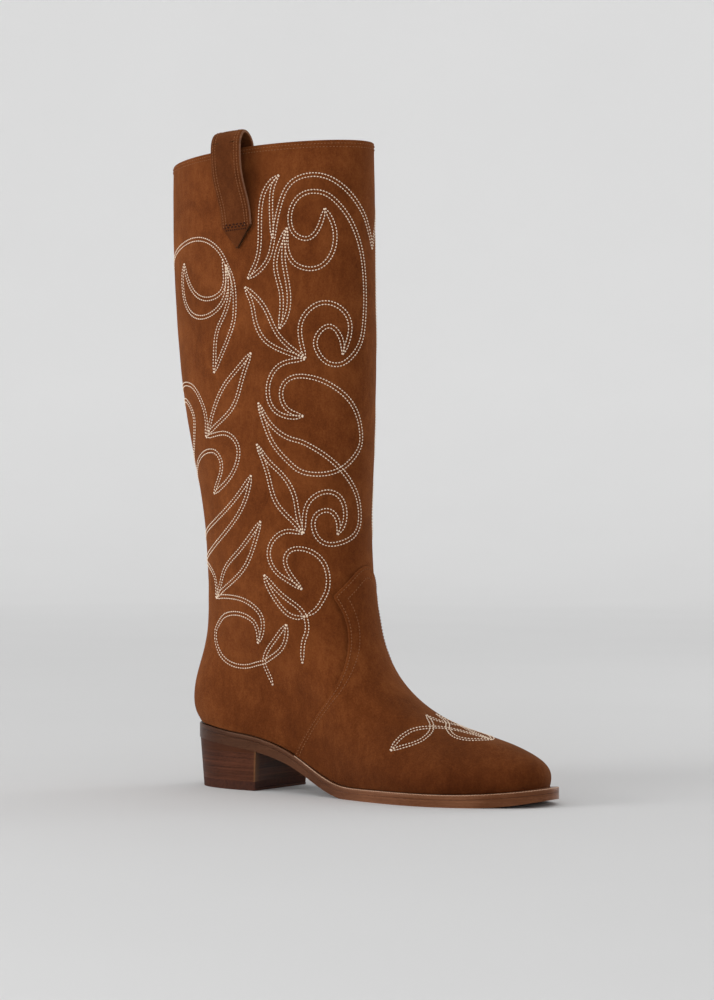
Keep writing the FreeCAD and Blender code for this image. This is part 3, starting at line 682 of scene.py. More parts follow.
def make_strap(material, edge_material):
    """Pull strap in one band, pointed at both ends and pressed flat where it is sewn."""
    section, rows = strap_section(), 120
    columns = len(section)
    w, n = section[None, :, 0], section[None, :, 1]
    t = np.linspace(0, 1, rows)[:, None]
    eased = smooth(0.0, 1.0, t) * 0.35 + t * 0.65
    point = STRAP_POINT * np.abs(w) / (STRAP_WIDTH / 2)
    along = np.where(t < 0.5, point * (1 - eased) ** 3 + eased * STRAP_RUN,
                     STRAP_RUN - point * eased ** 3 - (1 - eased) * STRAP_RUN)
    ends = smooth(PRESSED_END, 0.0, along) + smooth(STRAP_RUN - PRESSED_END, STRAP_RUN, along)
    off = n * (1 - PRESSED * ends) + strap_dish(along, w)
    points = strap_point(along, np.broadcast_to(w, along.shape), off).reshape(-1, 3)
    strap = mesh_piece("pull_strap", points, tube_faces(rows, columns), material)
    strap.data.materials.append(edge_material)
    cut = np.zeros(columns, int)
    cut[FACE_POINTS:FACE_POINTS + CUT_FACES] = 1
    cut[columns - CUT_FACES - 1:columns - 1] = 1
    strap.data.polygons.foreach_set("material_index", np.r_[np.tile(cut, rows - 1), 0, 0])
    return clean(strap)


def strap_line(stations):
    """Dense line on the strap's outer face through (along, across) points."""
    rough = np.asarray(stations, float)
    run = run_along(rough)
    s = np.linspace(0, run[-1], max(8, int(run[-1] / 0.7)))
    along, across = np.interp(s, run, rough[:, 0]), np.interp(s, run, rough[:, 1])
    thin = 1 - PRESSED * smooth(PRESSED_END, 0.0, along)
    off = STRAP_THICK / 2 * thin + strap_dish(along, across) + 0.05
    points = strap_point(along, across, off)
    normal = unit(strap_point(along, across, off + 0.5) - points)
    return points, normal


def bend_with_loop(piece):
    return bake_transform(piece)


# ---- sole edge
def sole_loop(count):
    """Evenly spaced plan points of the sole's outline with their outward directions."""
    angle = np.linspace(0, 2 * PI, 2400, endpoint=False)
    side = np.where(angle < PI, -1, 1)
    phi = np.where(side < 0, angle, 2 * PI - angle)
    x = SOLE_BACK + (SOLE_TIP - SOLE_BACK) * (1 - np.cos(phi)) / 2
    xy = np.stack([x, side * outline_at_angle(phi, side, 0.0) + toe_shift(x)], -1)
    closed = np.r_[xy, xy[:1]]
    run = run_along(closed)
    s = np.arange(count) * run[-1] / count
    even = between(s, run, closed)
    way = unit(np.roll(even, -1, 0) - np.roll(even, 1, 0))
    out = np.stack([-way[:, 1], way[:, 0]], -1)
    if (out[0] * (even[0] - even[count // 2])).sum() < 0:
        out = -out
    return even, out, s


WHEEL_PITCH = 2.0
WHEEL_STARTS = (70.0, 90.0)  # x over which the wheel's marks set in
WELT_POINTS = 2560
# Section of the welt: share of the width hidden under the upper, inset from the sole's edge, drop
# below the feather line, and depth of the wheel's marks.
WELT_SECTION = ((1.0, 6.0, -0.05, 0.0), (0.5, 0.0, -0.02, 0.0), (0.0, 0.72, 0.0, 0.0),
                (0.0, 0.66, 0.0, 0.32), (0.0, 0.30, -0.06, 0.42), (0.0, 0.08, -0.28, 0.30),
                (0.0, 0.0, -0.60, 0.12), (0.0, -0.03, -1.4, 0.0), (0.0, -0.03, -2.5, 0.0),
                (0.0, -0.02, -3.08, 0.0), (0.0, 0.12, -WELT_DEPTH, 0.0), (1.0, 6.0, -WELT_DEPTH, 0.0))
RIM_FACES = slice(3, 5)  # faces of that section with the pale wheel line
RIM_FROM_X = 62.0


def make_welt(material, rim_material):
    """Welt and heel rand in one ring, its top edge marked by a wheel along the forepart."""
    count = WELT_POINTS
    even, out, s = sole_loop(count)
    x = even[:, 0]
    mark = 0.5 - 0.5 * np.cos(2 * PI * np.round(s[-1] / WHEEL_PITCH) * s / s[-1])
    mark = mark ** 2 * smooth(*WHEEL_STARTS, x)
    top, width = feather(x), upper_inset(x)
    points = []
    for share, inset, drop, notch in WELT_SECTION:
        into = width * share + inset + 0.5 * notch * mark
        points.append(np.c_[even - out * into[:, None], top + drop - notch * mark])
    rings = [k * count + np.arange(count) for k in range(len(WELT_SECTION))]
    faces = bridge(rings + rings[:1], around=True)
    ring = mesh_piece("welt_ring", np.concatenate(points), faces, material)
    ring.data.materials.append(rim_material)
    is_rim = np.zeros((len(WELT_SECTION), count), int)
    is_rim[RIM_FACES] = x > RIM_FROM_X
    ring.data.polygons.foreach_set("material_index", is_rim.ravel())
    return clean(ring)


# ---- materials
class Nodes:
    """A material's nodes, made and joined by short calls. Positions are in metres."""

    def __init__(self, name):
        self.material = bpy.data.materials.new(name)
        self.material.use_nodes = True
        self.tree = self.material.node_tree
        self.shader = self.tree.nodes["Principled BSDF"]
        self.place = self.add("ShaderNodeTexCoord").outputs["Object"]

    def put(self, socket, value):
        """Sets an input to a number or a colour, or joins another node's output to it."""
        if isinstance(value, bpy.types.NodeSocket):
            self.tree.links.new(value, socket)
        else:
            socket.default_value = (*value, 1) if socket.type == "RGBA" and len(value) == 3 else value

    def add(self, kind, values=(), **settings):
        """A new node with these inputs, by name or number, and these settings."""
        node = self.tree.nodes.new(kind)
        for key, value in settings.items():
            setattr(node, key, value)
        for key, value in dict(values).items():
            self.put(node.inputs[key], value)
        return node

    def axis(self, letter):
        return self.add("ShaderNodeSeparateXYZ", {"Vector": self.place}).outputs[letter]

    def stretched(self, scale):
        return self.add("ShaderNodeMapping", {"Scale": scale, "Vector": self.place}).outputs["Vector"]

    def noise(self, scale, detail, rough, vector=None, twist=0.0):
        values = {"Scale": scale, "Detail": detail, "Roughness": rough, "Distortion": twist,
                  "Vector": vector or self.place}
        return self.add("ShaderNodeTexNoise", values).outputs["Fac"]

    def cells(self, scale):
        values = {"Scale": scale, "Vector": self.place}
        return self.add("ShaderNodeTexVoronoi", values).outputs["Distance"]

    def ramp(self, source, stops):
        node = self.add("ShaderNodeValToRGB", {"Fac": source})
        ramp = node.color_ramp
        ramp.elements[0].position, ramp.elements[-1].position = stops[0][0], stops[-1][0]
        ramp.elements[0].color = (*stops[0][1], 1)
        ramp.elements[-1].color = (*stops[-1][1], 1)
        for position, colour in stops[1:-1]:
            ramp.elements.new(position).color = (*colour, 1)
        return node.outputs["Color"]

    def math(self, operation, a, b):
        return self.add("ShaderNodeMath", {0: a, 1: b}, operation=operation).outputs["Value"]

    def mix(self, factor, first, second, blend="MIX"):
        values = {0: factor, 6: first, 7: second}
        return self.add("ShaderNodeMix", values, data_type="RGBA", blend_type=blend).outputs[2]

    def bump(self, height, strength, distance, onto=None):
        values = {"Strength": strength, "Distance": distance, "Height": height}
        if onto is not None:
            values["Normal"] = onto
        return self.add("ShaderNodeBump", values).outputs["Normal"]

    def finish(self, colour, normal, roughness, **values):
        """Puts these on the shader's sockets; values go by socket name, with _ for a space."""
        values = {"Base_Color": colour, "Roughness": roughness, **values}
        if normal is not None:
            values["Normal"] = normal
        for key, value in values.items():
            self.put(self.shader.inputs[key.replace("_", " ")], value)
        return self.material


# Painted shade: suede is darker close to the sole, where less light reaches it; height in decimetres,
# tint.
PAINTED_LOW_SHADE = [(0.12, (0.60, 0.55, 0.52)), (0.34, (0.78, 0.76, 0.74)), (0.75, (1.0, 1.0, 1.0))]


def suede(name, dark, middle, light):
    """Brushed nap: fine flecks over faint, larger shading from how the nap lies."""
    n = Nodes(name)
    shading = n.noise(38.0, 3.0, 0.5, twist=0.6)
    brushed = n.noise(230.0, 5.0, 0.7, vector=n.stretched((1.0, 1.0, 0.5)))
    fleck = n.noise(900.0, 4.0, 0.75)
    tone = n.math("ADD", n.math("MULTIPLY", shading, 0.34), n.math("MULTIPLY", brushed, 0.30))
    tone = n.math("ADD", tone, n.math("MULTIPLY", fleck, 0.36))
    colour = n.ramp(tone, [(0.385, dark), (0.50, middle), (0.615, light)])
    # painted shade: the suede's colour darkens towards the sole
    low = n.ramp(n.math("MULTIPLY", n.axis("Z"), 10.0), PAINTED_LOW_SHADE)
    colour = n.mix(1.0, colour, low, "MULTIPLY")
    fibre = n.noise(2600.0, 2.0, 0.7)
    normal = n.bump(fibre, 0.40, 0.0004)
    normal = n.bump(fleck, 0.40, 0.0006, normal)
    normal = n.bump(brushed, 0.22, 0.0012, normal)
    return n.finish(colour, normal, 0.95, Specular_IOR_Level=0.06, Sheen_Weight=0.16,
                    Sheen_Roughness=0.5, Sheen_Tint=(0.95, 0.45, 0.20, 1.0))


def thread(name, dark, light):
    """Sewing thread, shaded by its twist."""
    n = Nodes(name)
    twist = n.noise(1500.0, 2.0, 0.5)
    colour = n.ramp(twist, [(0.3, dark), (0.7, light)])
    return n.finish(colour, n.bump(twist, 0.4, 0.0003), 0.7, Specular_IOR_Level=0.12)


def smooth_leather(name, dark, light, grain=700.0):
    n = Nodes(name)
    cloud = n.noise(40.0, 5.0, 0.6)
    pores = n.cells(grain)
    creases = n.noise(260.0, 4.0, 0.6)
    tone = n.math("ADD", n.math("MULTIPLY", cloud, 0.7), n.math("MULTIPLY", creases, 0.3))
    colour = n.ramp(tone, [(0.3, dark), (0.7, light)])
    normal = n.bump(pores, 0.15, 0.0003)
    normal = n.bump(creases, 0.2, 0.0006, normal)
    shine = n.ramp(cloud, [(0.3, (0.42,) * 3), (0.7, (0.6,) * 3)])
    return n.finish(colour, normal, shine, Specular_IOR_Level=0.4)


BREAST_RAKE = 0.06  # the heel's breast runs this far forward for each metre up
BREAST_HIGHLIGHT = (0.0268, 0.0286)  # from here forward, at floor height, its corners get a painted highlight
BREAST_SCALE = 20.0  # brings such places into a ramp's range
EDGE_TINT = (1.0, 0.55, 0.35, 1.0)  # brown highlights, where white ones would look grey


def edge_leather(name, dark, light, layers=1.0, shine=(0.45, 0.6), gloss=0.14, stain=None, breast_highlight=None):
    """Cut leather edge, burnished: fibres run level, with thin layers. stain darkens it by X.
    The last argument is the colour of a painted highlight on the heel's corners at its breast."""
    n = Nodes(name)
    level = n.noise(60.0, 5.0, 0.6, vector=n.stretched((0.3, 0.3, 15.0)))
    fine = n.noise(420.0, 4.0, 0.6, vector=n.stretched((1.0, 1.0, 5.0)))
    cloud = n.noise(22.0, 3.0, 0.5)
    tone = n.math("ADD", n.math("MULTIPLY", level, 0.5 * layers), n.math("MULTIPLY", fine, 0.25))
    tone = n.math("ADD", tone, n.math("MULTIPLY", cloud, 0.25 + 0.5 * (1 - layers)))
    colour = n.ramp(tone, [(0.41, dark), (0.60, light)])
    if stain:
        tint = n.ramp(n.math("MULTIPLY", n.axis("X"), 5.0), stain)
        colour = n.mix(1.0, colour, tint, "MULTIPLY")
    # painted highlight on the breast's corners, where the light catches them
    if breast_highlight:
        way = (BREAST_SCALE, 0.0, -BREAST_SCALE * BREAST_RAKE)
        ahead = n.add("ShaderNodeVectorMath", {0: n.place, 1: way}, operation="DOT_PRODUCT")
        start, end = [BREAST_SCALE * x for x in BREAST_HIGHLIGHT]
        highlight_mask = n.ramp(ahead.outputs["Value"], [(start, (0, 0, 0)), (end, (0.6,) * 3)])
        colour = n.mix(highlight_mask, colour, breast_highlight)
    rough = n.ramp(fine, [(0.3, (shine[0],) * 3), (0.75, (shine[1],) * 3)])
    normal = n.bump(level, 0.12, 0.0005)
    normal = n.bump(fine, 0.10, 0.0003, normal)
    return n.finish(colour, normal, rough, Specular_IOR_Level=gloss, Specular_Tint=EDGE_TINT)


def plain_grain(name, dark, light, scale, rough, metal=0.0):
    """Even material with a fine grain."""
    n = Nodes(name)
    grain = n.noise(scale, 4.0, 0.6)
    colour = n.ramp(grain, [(0.3, dark), (0.7, light)])
    return n.finish(colour, n.bump(grain, 0.2, 0.0003), rough, Metallic=metal, Specular_IOR_Level=0.2)


SUEDE = suede("suede_cognac", (0.098, 0.0235, 0.0050), (0.142, 0.0370, 0.0085),
              (0.196, 0.0565, 0.0145))
STRAP_SUEDE = suede("suede_strap", (0.066, 0.0170, 0.0042), (0.098, 0.0265, 0.0070),
                    (0.135, 0.0400, 0.0115))
RAW_EDGE = plain_grain("raw_edge", (0.185, 0.080, 0.042), (0.290, 0.140, 0.080), 900.0, 0.9)
CREAM = thread("thread_cream", (0.72, 0.55, 0.40), (0.95, 0.81, 0.66))
TONAL = thread("thread_tan", (0.165, 0.055, 0.0185), (0.300, 0.120, 0.0480))
TACK = thread("thread_brown", (0.020, 0.0060, 0.0025), (0.040, 0.0120, 0.0050))
LINING = smooth_leather("lining_tan", (0.36, 0.23, 0.13), (0.47, 0.32, 0.19))
GRIP = suede("grip_suede", (0.25, 0.15, 0.085), (0.33, 0.21, 0.12), (0.40, 0.26, 0.16))
SOCK = smooth_leather("sock_tan", (0.33, 0.20, 0.11), (0.44, 0.29, 0.17), grain=500.0)
# Sole edge: dark as the heel at the back, lighter forward; X in fifths of a metre, tint.
HEEL_STAIN = [(0.15, (0.27, 0.22, 0.18)), (0.40, (0.40, 0.34, 0.29)), (0.60, (0.82, 0.78, 0.74)),
              (0.75, (1.0, 1.0, 1.0))]
SOLE_EDGE = edge_leather("sole_edge", (0.115, 0.040, 0.0165), (0.215, 0.088, 0.0430), 0.6,
                         (0.26, 0.40), 0.28, HEEL_STAIN)
# the last colours of these two are painted highlights on the breast's corners
STACK = edge_leather("heel_stack", (0.020, 0.0060, 0.0036), (0.092, 0.0290, 0.0150),
                     breast_highlight=(0.230, 0.105, 0.040))
WEDGE = edge_leather("heel_wedge_edge", (0.036, 0.0100, 0.0040), (0.068, 0.0200, 0.0085),
                     breast_highlight=(0.200, 0.095, 0.038))
WELT_RIM = edge_leather("welt_rim", (0.450, 0.270, 0.170), (0.640, 0.430, 0.310))
RUBBER = plain_grain("rubber_brown", (0.034, 0.0092, 0.0042), (0.066, 0.0185, 0.0085), 500.0, 0.8)
STEEL = plain_grain("steel_plain", (0.45, 0.45, 0.46), (0.6, 0.6, 0.6), 900.0, 0.35, 1.0)
BRASS = plain_grain("brass_plain", (0.62, 0.43, 0.18), (0.78, 0.57, 0.28), 900.0, 0.35, 1.0)
BOARD = plain_grain("fibre_board", (0.36, 0.28, 0.20), (0.48, 0.39, 0.29), 600.0, 0.85)
CORK = plain_grain("cork_grain", (0.30, 0.18, 0.09), (0.55, 0.37, 0.21), 380.0, 0.85)
FOAM = plain_grain("latex_foam", (0.62, 0.57, 0.44), (0.74, 0.69, 0.55), 1200.0, 0.9)
CLOTH = plain_grain("backing_cloth", (0.55, 0.50, 0.42), (0.68, 0.63, 0.54), 1600.0, 0.9)

LOOKS = (
    (SUEDE, "shaft vamp"), (STRAP_SUEDE, "strap_loop strap_outer_leg strap_inner_leg"),
    (LINING, "shaft_lining vamp_lining"), (GRIP, "heel_grip"), (SOCK, "sock_lining"),
    (SOLE_EDGE, "welt heel_rand outsole"), (WEDGE, "heel_wedge"), (RUBBER, "heel_cap"),
    (STACK, "heel_lift_1 heel_lift_2 heel_lift_3 heel_lift_4 heel_lift_5"),
    (BOARD, "seat_piece insole_board toe_puff heel_counter"), (CORK, "cork_filler"),
    (CLOTH, "vamp_interlining shaft_backer closing_seam_tape"), (FOAM, "heel_pad"),
    (STEEL, "shank shank_rivets heel_nails"), (BRASS, "heel_cap_pins"),
)
NODE_LOOKS = {node: look for look, nodes in LOOKS for node in nodes.split()}
# Bevel of the cut edges, in metres.
BEVELLED = {"outsole": 0.0003, "heel_wedge": 0.00018, "heel_cap": 0.0005,
            **{"heel_lift_%d" % k: 0.00018 for k in range(1, 6)}}


def dress_cad_nodes():
    for name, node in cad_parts.items():
        node.data.materials.clear()
        node.data.materials.append(NODE_LOOKS[name])
        if name in BEVELLED:
            bevel = node.modifiers.new("edge", "BEVEL")
            bevel.width, bevel.segments = BEVELLED[name], 2
            bevel.limit_method, bevel.angle_limit = "ANGLE", math.radians(50)


# ---- the boot
def piece_on_boot(piece, replaced=()):
    """Fixes a piece to the boot, and hides the CAD nodes that it stands for."""
    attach(piece, "boot")
    if replaced:
        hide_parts(*replaced)
    return piece


def stitch_piece(name, rows, material, pitch, length, radius):
    points, faces = lay_stitches(rows, pitch, length, radius)
    return mesh_piece(name, points, faces, material)


def sew(name, rows, material, pitch, length, radius):
    """One piece of all the stitches in these rows, on the boot."""
    piece_on_boot(stitch_piece(name, rows, material, pitch, length, radius))


ROUND_LEG = np.linspace(0, 2 * PI, 160, endpoint=False)
# Name, material, stations, angles, outer and inner face off the base surface, slot, CAD node.
LININGS = (
    ("shaft_lining_leather", LINING, np.r_[np.linspace(4.5, 12.9, 120), 12.955], ROUND_LEG,
     (-2.0, -2.9), "lining_leather", "shaft_lining"),
    ("vamp_lining_leather", LINING, np.linspace(0.15, 4.6, 90), np.radians(np.arange(84, 277, 1.5)),
     (-1.5, -2.3), "lining_leather", "vamp_lining"),
    ("heel_grip_suede", GRIP, np.linspace(0.15, 4.4, 90), np.radians(np.arange(-82, 82.5, 1.5)),
     (-2.0, -2.9), "lining_suede", "heel_grip"),
)


def build_upper():
    piece_on_boot(make_shaft(SUEDE), ["shaft"])
    piece_on_boot(make_vamp(SUEDE), ["vamp"])
    for name, material, rows, turn, depths, slot, node in LININGS:
        around = turn is ROUND_LEG
        piece_on_boot(sheet_piece(name, material, rows, turn, *depths, around=around), [node])


# ---- embroidery
# Double rows of cream thread. Each stroke is a list of (angle in degrees round the leg from the
# back over the lateral side, height in mm). The pattern is the same on both sides of a centre
# line, which lies a little to the medial side of the front and the back.
PATTERN_BACK = 6.5  # degrees to that line at the back
ROW_GAP = 2.35
DRAWN_IN = 6.0  # length at a stroke's end over which its rows draw together
STITCH = (2.05, 1.4, 0.41)  # pitch, length and radius

FRONT_SCROLLS = {
    "top leaf, rear": [(116, 404.5), (111.5, 400.5), (105.3, 379.5), (102.5, 347.5), (97.5, 337)],
    "top leaf, front": [(116, 404.5), (113.5, 400), (111.4, 387), (112.3, 362.5)],
    "high arch": [(97.5, 337), (102, 340), (109, 348.5), (112.3, 361), (116.5, 385.5), (124, 400.3),
                  (137, 403.8), (150.5, 399), (170.5, 382), (176, 375.5), (181, 367.5), (184.5, 361.5),
                  (186.5, 356)],
    "long scroll": [(142.3, 382.2), (141, 376), (130.5, 362.2), (125.5, 364.5), (122.6, 369.5),
                    (129.5, 391.5), (143, 391.3), (149.5, 386.8), (169.7, 357), (173.9, 310.5),
                    (171, 298), (159, 283.7), (153, 280.6), (142.3, 282.2), (138.5, 286.5), (136, 296),
                    (144.5, 305.2), (154.3, 291.3), (154, 286.3)],
    "middle scroll": [(154, 286.3), (159, 310), (140.4, 320.4), (127.7, 308.5), (127.1, 297),
                      (129.9, 284)],
    "crescent": [(142.3, 382.2), (148, 371.3), (146.6, 352), (136, 342.8), (124, 346.5),
                 (121.2, 351.5), (120.4, 370)],
    "stalk, rear": [(120.4, 370), (113.6, 343.5), (116.2, 329), (115, 303.5)],
    "stalk, front": [(120.4, 370), (118.2, 349.5), (120, 335), (118.4, 310), (115, 303.5)],
    "sword leaf, front": [(95.8, 332.2), (106.2, 319.5), (114, 300.5), (129.9, 284)],
    "sword leaf, rear": [(95.8, 332.2), (100.2, 318.5), (101, 312.5), (108, 295.2), (114, 290.8),
                         (129.9, 284)],
    "hook": [(129.9, 283.7), (122, 282.8), (116.3, 281), (111.3, 250.5), (122, 246), (128.5, 246.7)],
    "heart, rear": [(128.5, 246.7), (118.6, 251.4), (116.5, 267), (120, 271), (133, 272), (148, 265.7),
                    (161.5, 255.4), (172, 235), (172, 229.8), (166, 221), (156, 213.5), (135, 209),
                    (124, 212), (120, 215.5), (108.2, 231.3), (106.3, 236.5), (101.2, 256.3)],
    "heart, front": [(101.2, 256.3), (107.2, 243.3), (120.4, 232), (126, 230.3), (132.2, 227.3),
                     (150.5, 215), (164, 202.5), (171, 192.3), (172.7, 176.3), (155, 164.6),
                     (137.5, 166.5), (134.8, 181), (143, 185.5), (147.7, 184.2), (152.4, 176),
                     (151.2, 169.3)],
    "low scroll": [(151.2, 169.3), (157.5, 178), (154.5, 193.2), (144, 197.6), (130.4, 190),
                   (127.1, 174.5), (126.6, 170)],
    "low leaf, front": [(98.8, 229.2), (107.6, 215.7), (112.2, 211), (121.8, 193.7), (123.5, 181.5),
                        (126.4, 170.4)],
    "low leaf, rear": [(98.8, 229.2), (105.1, 208.7), (109.6, 190.5), (121.5, 176.5), (126.4, 170.4)],
    "low hook": [(126.6, 170), (115, 171.7), (102.3, 159), (107.9, 143.7), (111.6, 141.1),
                 (123.2, 133.8)],
    "bulb": [(123.2, 133.8), (117.8, 140.8), (113.6, 155.2), (118, 159.8), (121.7, 160.6),
             (139.8, 151.3), (139.8, 132), (137.2, 128.2), (131, 121.2), (122.8, 116.7)],
    "root, rear": [(97.1, 143.6), (98.7, 137.2), (105.5, 123.9), (111.6, 117.3), (119.1, 115.8),
                   (122.8, 116.7)],
    "root, front": [(97.1, 143.6), (111.6, 127.8), (121.5, 118.5), (120.6, 105.7), (118.2, 102.5),
                    (109.8, 89.5), (107, 85.5)],
}
BACK_SCROLLS = {
    "high arch": [(6.5, 336), (14, 344), (45, 361.6), (71.7, 363.8), (80.4, 356.5), (85.8, 345.5),
                  (87.9, 340), (89.6, 319), (89, 311.5), (85, 299.2), (73.1, 275.7)],
    "inner crescent": [(50, 350.8), (51, 346), (70.8, 325.3), (79.6, 328), (82.5, 351.5)],
    "outer crescent": [(50, 350.8), (47.9, 345), (55.2, 317.2), (66.5, 313.4), (80.8, 321.2),
                       (84.8, 347.5)],
    "long leaf": [(84.8, 347.5), (87, 333), (81.3, 311.7), (78.3, 306), (74.5, 286), (73.1, 275.7)],
    "sword leaf, front": [(98.6, 289), (91.8, 270), (84.2, 252.3), (74.6, 244), (62, 235.5)],
    "sword leaf, rear": [(98.6, 289), (86.7, 274.9), (82.5, 270.3), (63, 237)],
    "arch": [(6.5, 262), (20, 266), (46.5, 269.3), (51, 267.9), (58.3, 260.3), (62.3, 244),
             (59.6, 233.6)],
    "hook": [(59.6, 233.6), (69.2, 235.4), (79.6, 235.5), (85.6, 229.4), (85, 217.8), (76.4, 205.7),
             (60, 196)],
    "inner hook": [(6.5, 187), (18, 199), (47.3, 220.2), (62.7, 224.7), (66.5, 224.2), (71.3, 218.4),
                   (63.7, 200.8), (60, 196)],
    "back loop": [(6.5, 248), (20, 255.5), (40, 257.6), (47.7, 247), (46.7, 242), (6.5, 206)],
    "blade, upper": [(94.1, 208.7), (87.3, 200), (51, 175.5), (18, 162), (9, 154.5)],
    "blade, lower": [(94.1, 208.7), (87.8, 191.5), (63.6, 167.8), (36, 155), (22, 152.5), (9, 154.5)],
    "low leaf, upper": [(98.2, 178.7), (78.2, 157.8), (62.7, 145), (53.4, 131.7), (47.7, 126.5)],
    "low leaf, lower": [(98.2, 178.7), (93.6, 166.9), (83.5, 148.6), (53.6, 129.7), (47.7, 126.5)],
    "heel arch": [(6.5, 146), (20, 150), (34, 149), (49, 140.5), (50.4, 134), (47.7, 126.5)],
    "heel hook": [(47.7, 126.5), (54.5, 127.8), (61.8, 128.1), (87, 121.5), (90, 117.8), (83.8, 101.1),
                  (79.8, 97.6)],
    "heel bulb": [(79.8, 97.6), (83.5, 103.8), (83.2, 112), (79.8, 114.8), (64.4, 117), (52.6, 113.5),
                  (47.2, 109.7), (43.2, 105.8), (42.1, 97.3), (55.3, 82.9), (66.2, 82.7), (71.6, 84.2),
                  (77.8, 85.8), (84.4, 88.6), (95.3, 94), (106.5, 106.5), (108, 111.5)],
    "heel stalk": [(108, 111.5), (95.3, 101.1), (79.7, 88), (77.6, 85), (75.8, 77.5), (74.3, 70)],
}
# Figure on the toe, x and y in mm seen from above; the other half is its mirror image over TOE_LINE.
TOE_LINE = 0.7
TOE_FIGURE = {
    "wing, rear": [(145, -37), (149.5, -24.5), (159.5, -14), (165, -9.3), (191, 0.2), (197, 0.7)],
    "wing, front": [(145, -37), (161.3, -23.5), (162, -18), (149, -4.5)],
    "front leaf": [(197, 0.7), (188, -9.5), (177, -12.4), (168, -7), (160.5, 2.3), (155.5, 5),
                   (149, 5.9)],
}


def mirrored(stroke):
    """The stroke on the other side of the pattern's centre line."""
    return [(360 + 2 * PATTERN_BACK - angle, height) for angle, height in stroke]


def settle(target, v, theta, weight):
    """Station and angle of the surface point nearest to each target, by Newton's steps."""
    step_v, step_t = 0.01, 0.004
    weight = np.asarray(weight, float)
    for _ in range(25):
        here = base(v, theta)
        by_v = (base(v + step_v, theta) - here) / step_v * weight
        by_t = (base(v, theta + step_t) - here) / step_t * weight
        miss = (target - here) * weight
        a, b, c = (by_v * by_v).sum(-1), (by_v * by_t).sum(-1), (by_t * by_t).sum(-1)
        p, q = (by_v * miss).sum(-1), (by_t * miss).sum(-1)
        det = np.maximum(a * c - b * b, 1e-6)
        v = np.clip(v + np.clip((c * p - b * q) / det, -0.4, 0.4), 0.05, TOP)
        theta = theta + np.clip((a * q - b * p) / det, -0.12, 0.12)
    return v, theta


def upper_row(v, theta, lift):
    """Points on the upper and their outward normals."""
    normal = outward(v, theta)
    points = base(v, theta)
    return points + normal * (relief(points, v, theta) + lift)[:, None], normal


def double_row(v, theta, lift):
    """Two rows of stitches along a stroke, which draw together at its ends."""
    middle, normal = upper_row(v, theta, lift)
    run = run_along(middle)
    spread = 0.22 + 0.78 * smooth(0.0, DRAWN_IN, np.minimum(run, run[-1] - run))
    side = unit(np.cross(normal, np.gradient(middle, axis=0)))
    offset = side * (spread * ROW_GAP / 2)[:, None]
    return [(middle + offset, normal), (middle - offset, normal)]


def dense(points):
    """Close points on the smooth curve through a stroke's points."""
    reach = sum(math.dist(a, b) for a, b in zip(points, points[1:]))
    return through(points)(np.linspace(0, 1, max(12, int(reach / 0.8))))


def leg_stroke(points):
    """Rows of a stroke given as angle in degrees and height."""
    path = dense(points)
    theta = np.radians(path[:, 0])
    return double_row(station_at(theta, path[:, 1]), theta, 0.05)


def toe_stroke(points):
    """Rows of a stroke given in plan, on top of the toe."""
    path = dense(points)
    target = np.c_[path, np.zeros(len(path))]
    v, theta = settle(target, np.full(len(path), 3.5), np.full(len(path), 0.95 * PI), (1, 1, 0))
    return double_row(v, theta, VAMP_LIFT + 0.05)


def build_embroidery():
    for place, strokes in (("front", FRONT_SCROLLS), ("back", BACK_SCROLLS)):
        for side, turn in (("lateral", list), ("medial", mirrored)):
            rows = [row for stroke in strokes.values() for row in leg_stroke(turn(stroke))]
            sew("embroidery_%s_%s" % (side, place), rows, CREAM, *STITCH)
    rows = []
    for stroke in TOE_FIGURE.values():
        rows += toe_stroke(stroke) + toe_stroke([(x, 2 * TOE_LINE - y) for x, y in stroke])
    sew("embroidery_toe", rows, CREAM, *STITCH)


def build_strap():
    strap = make_strap(STRAP_SUEDE, RAW_EDGE)
    bend_with_loop(strap)
    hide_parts("strap_loop", "strap_outer_leg", "strap_inner_leg")


CONSTRUCTION_STITCH = (2.2, 1.4, 0.36)
TOPLINE_ROWS = (0.045, 0.088)  # stations below the topline


def seam_row(inset):
    """Row of stitches on the vamp, a distance in from its edge."""
    k = np.arange(0, len(SEAM), 2)
    inset = np.broadcast_to(inset, len(SEAM))[k]
    v, theta = settle(SEAM[k] + SEAM_INTO[k] * inset[:, None], SEAM_V[k], SEAM_T[k], (1, 1, 1))
    distance, _ = seam_distance(base(v, theta))
    on = (v > 0.12) & (distance > 0.93 * inset)
    return upper_row(v[on], theta[on], VAMP_LIFT + 0.03)


def build_construction_stitches():
    turn = np.linspace(0, 2 * PI, 700)
    topline = [upper_row(np.full(700, TOP - down), turn, 0.03) for down in TOPLINE_ROWS]
    sew("topline_stitches", topline, TONAL, *CONSTRUCTION_STITCH)
    high = smooth(60.0, 110.0, SEAM[:, 2])
    sew("vamp_stitches", [seam_row(1.8), seam_row(4.2 + 3.6 * high)], TONAL, *CONSTRUCTION_STITCH)
    v = np.linspace(5.4, TOP - 0.2, 500)
    closing = [upper_row(v, CLOSING_SEAM + side / leg_half(v), 0.03) for side in (-2.2, 2.2)]
    sew("closing_stitches", closing, TONAL, *CONSTRUCTION_STITCH)


TACK_AT = 13.6  # the strap's tack starts this far above its point


def strap_edge_row(inset, side):
    """Row along one edge of the strap, from the tack over the top and down the inner leg."""
    across = side * (STRAP_WIDTH / 2 - inset)
    return [(TACK_AT + 1.0, across), (STRAP_RUN - TACK_AT - 1.0, across)]


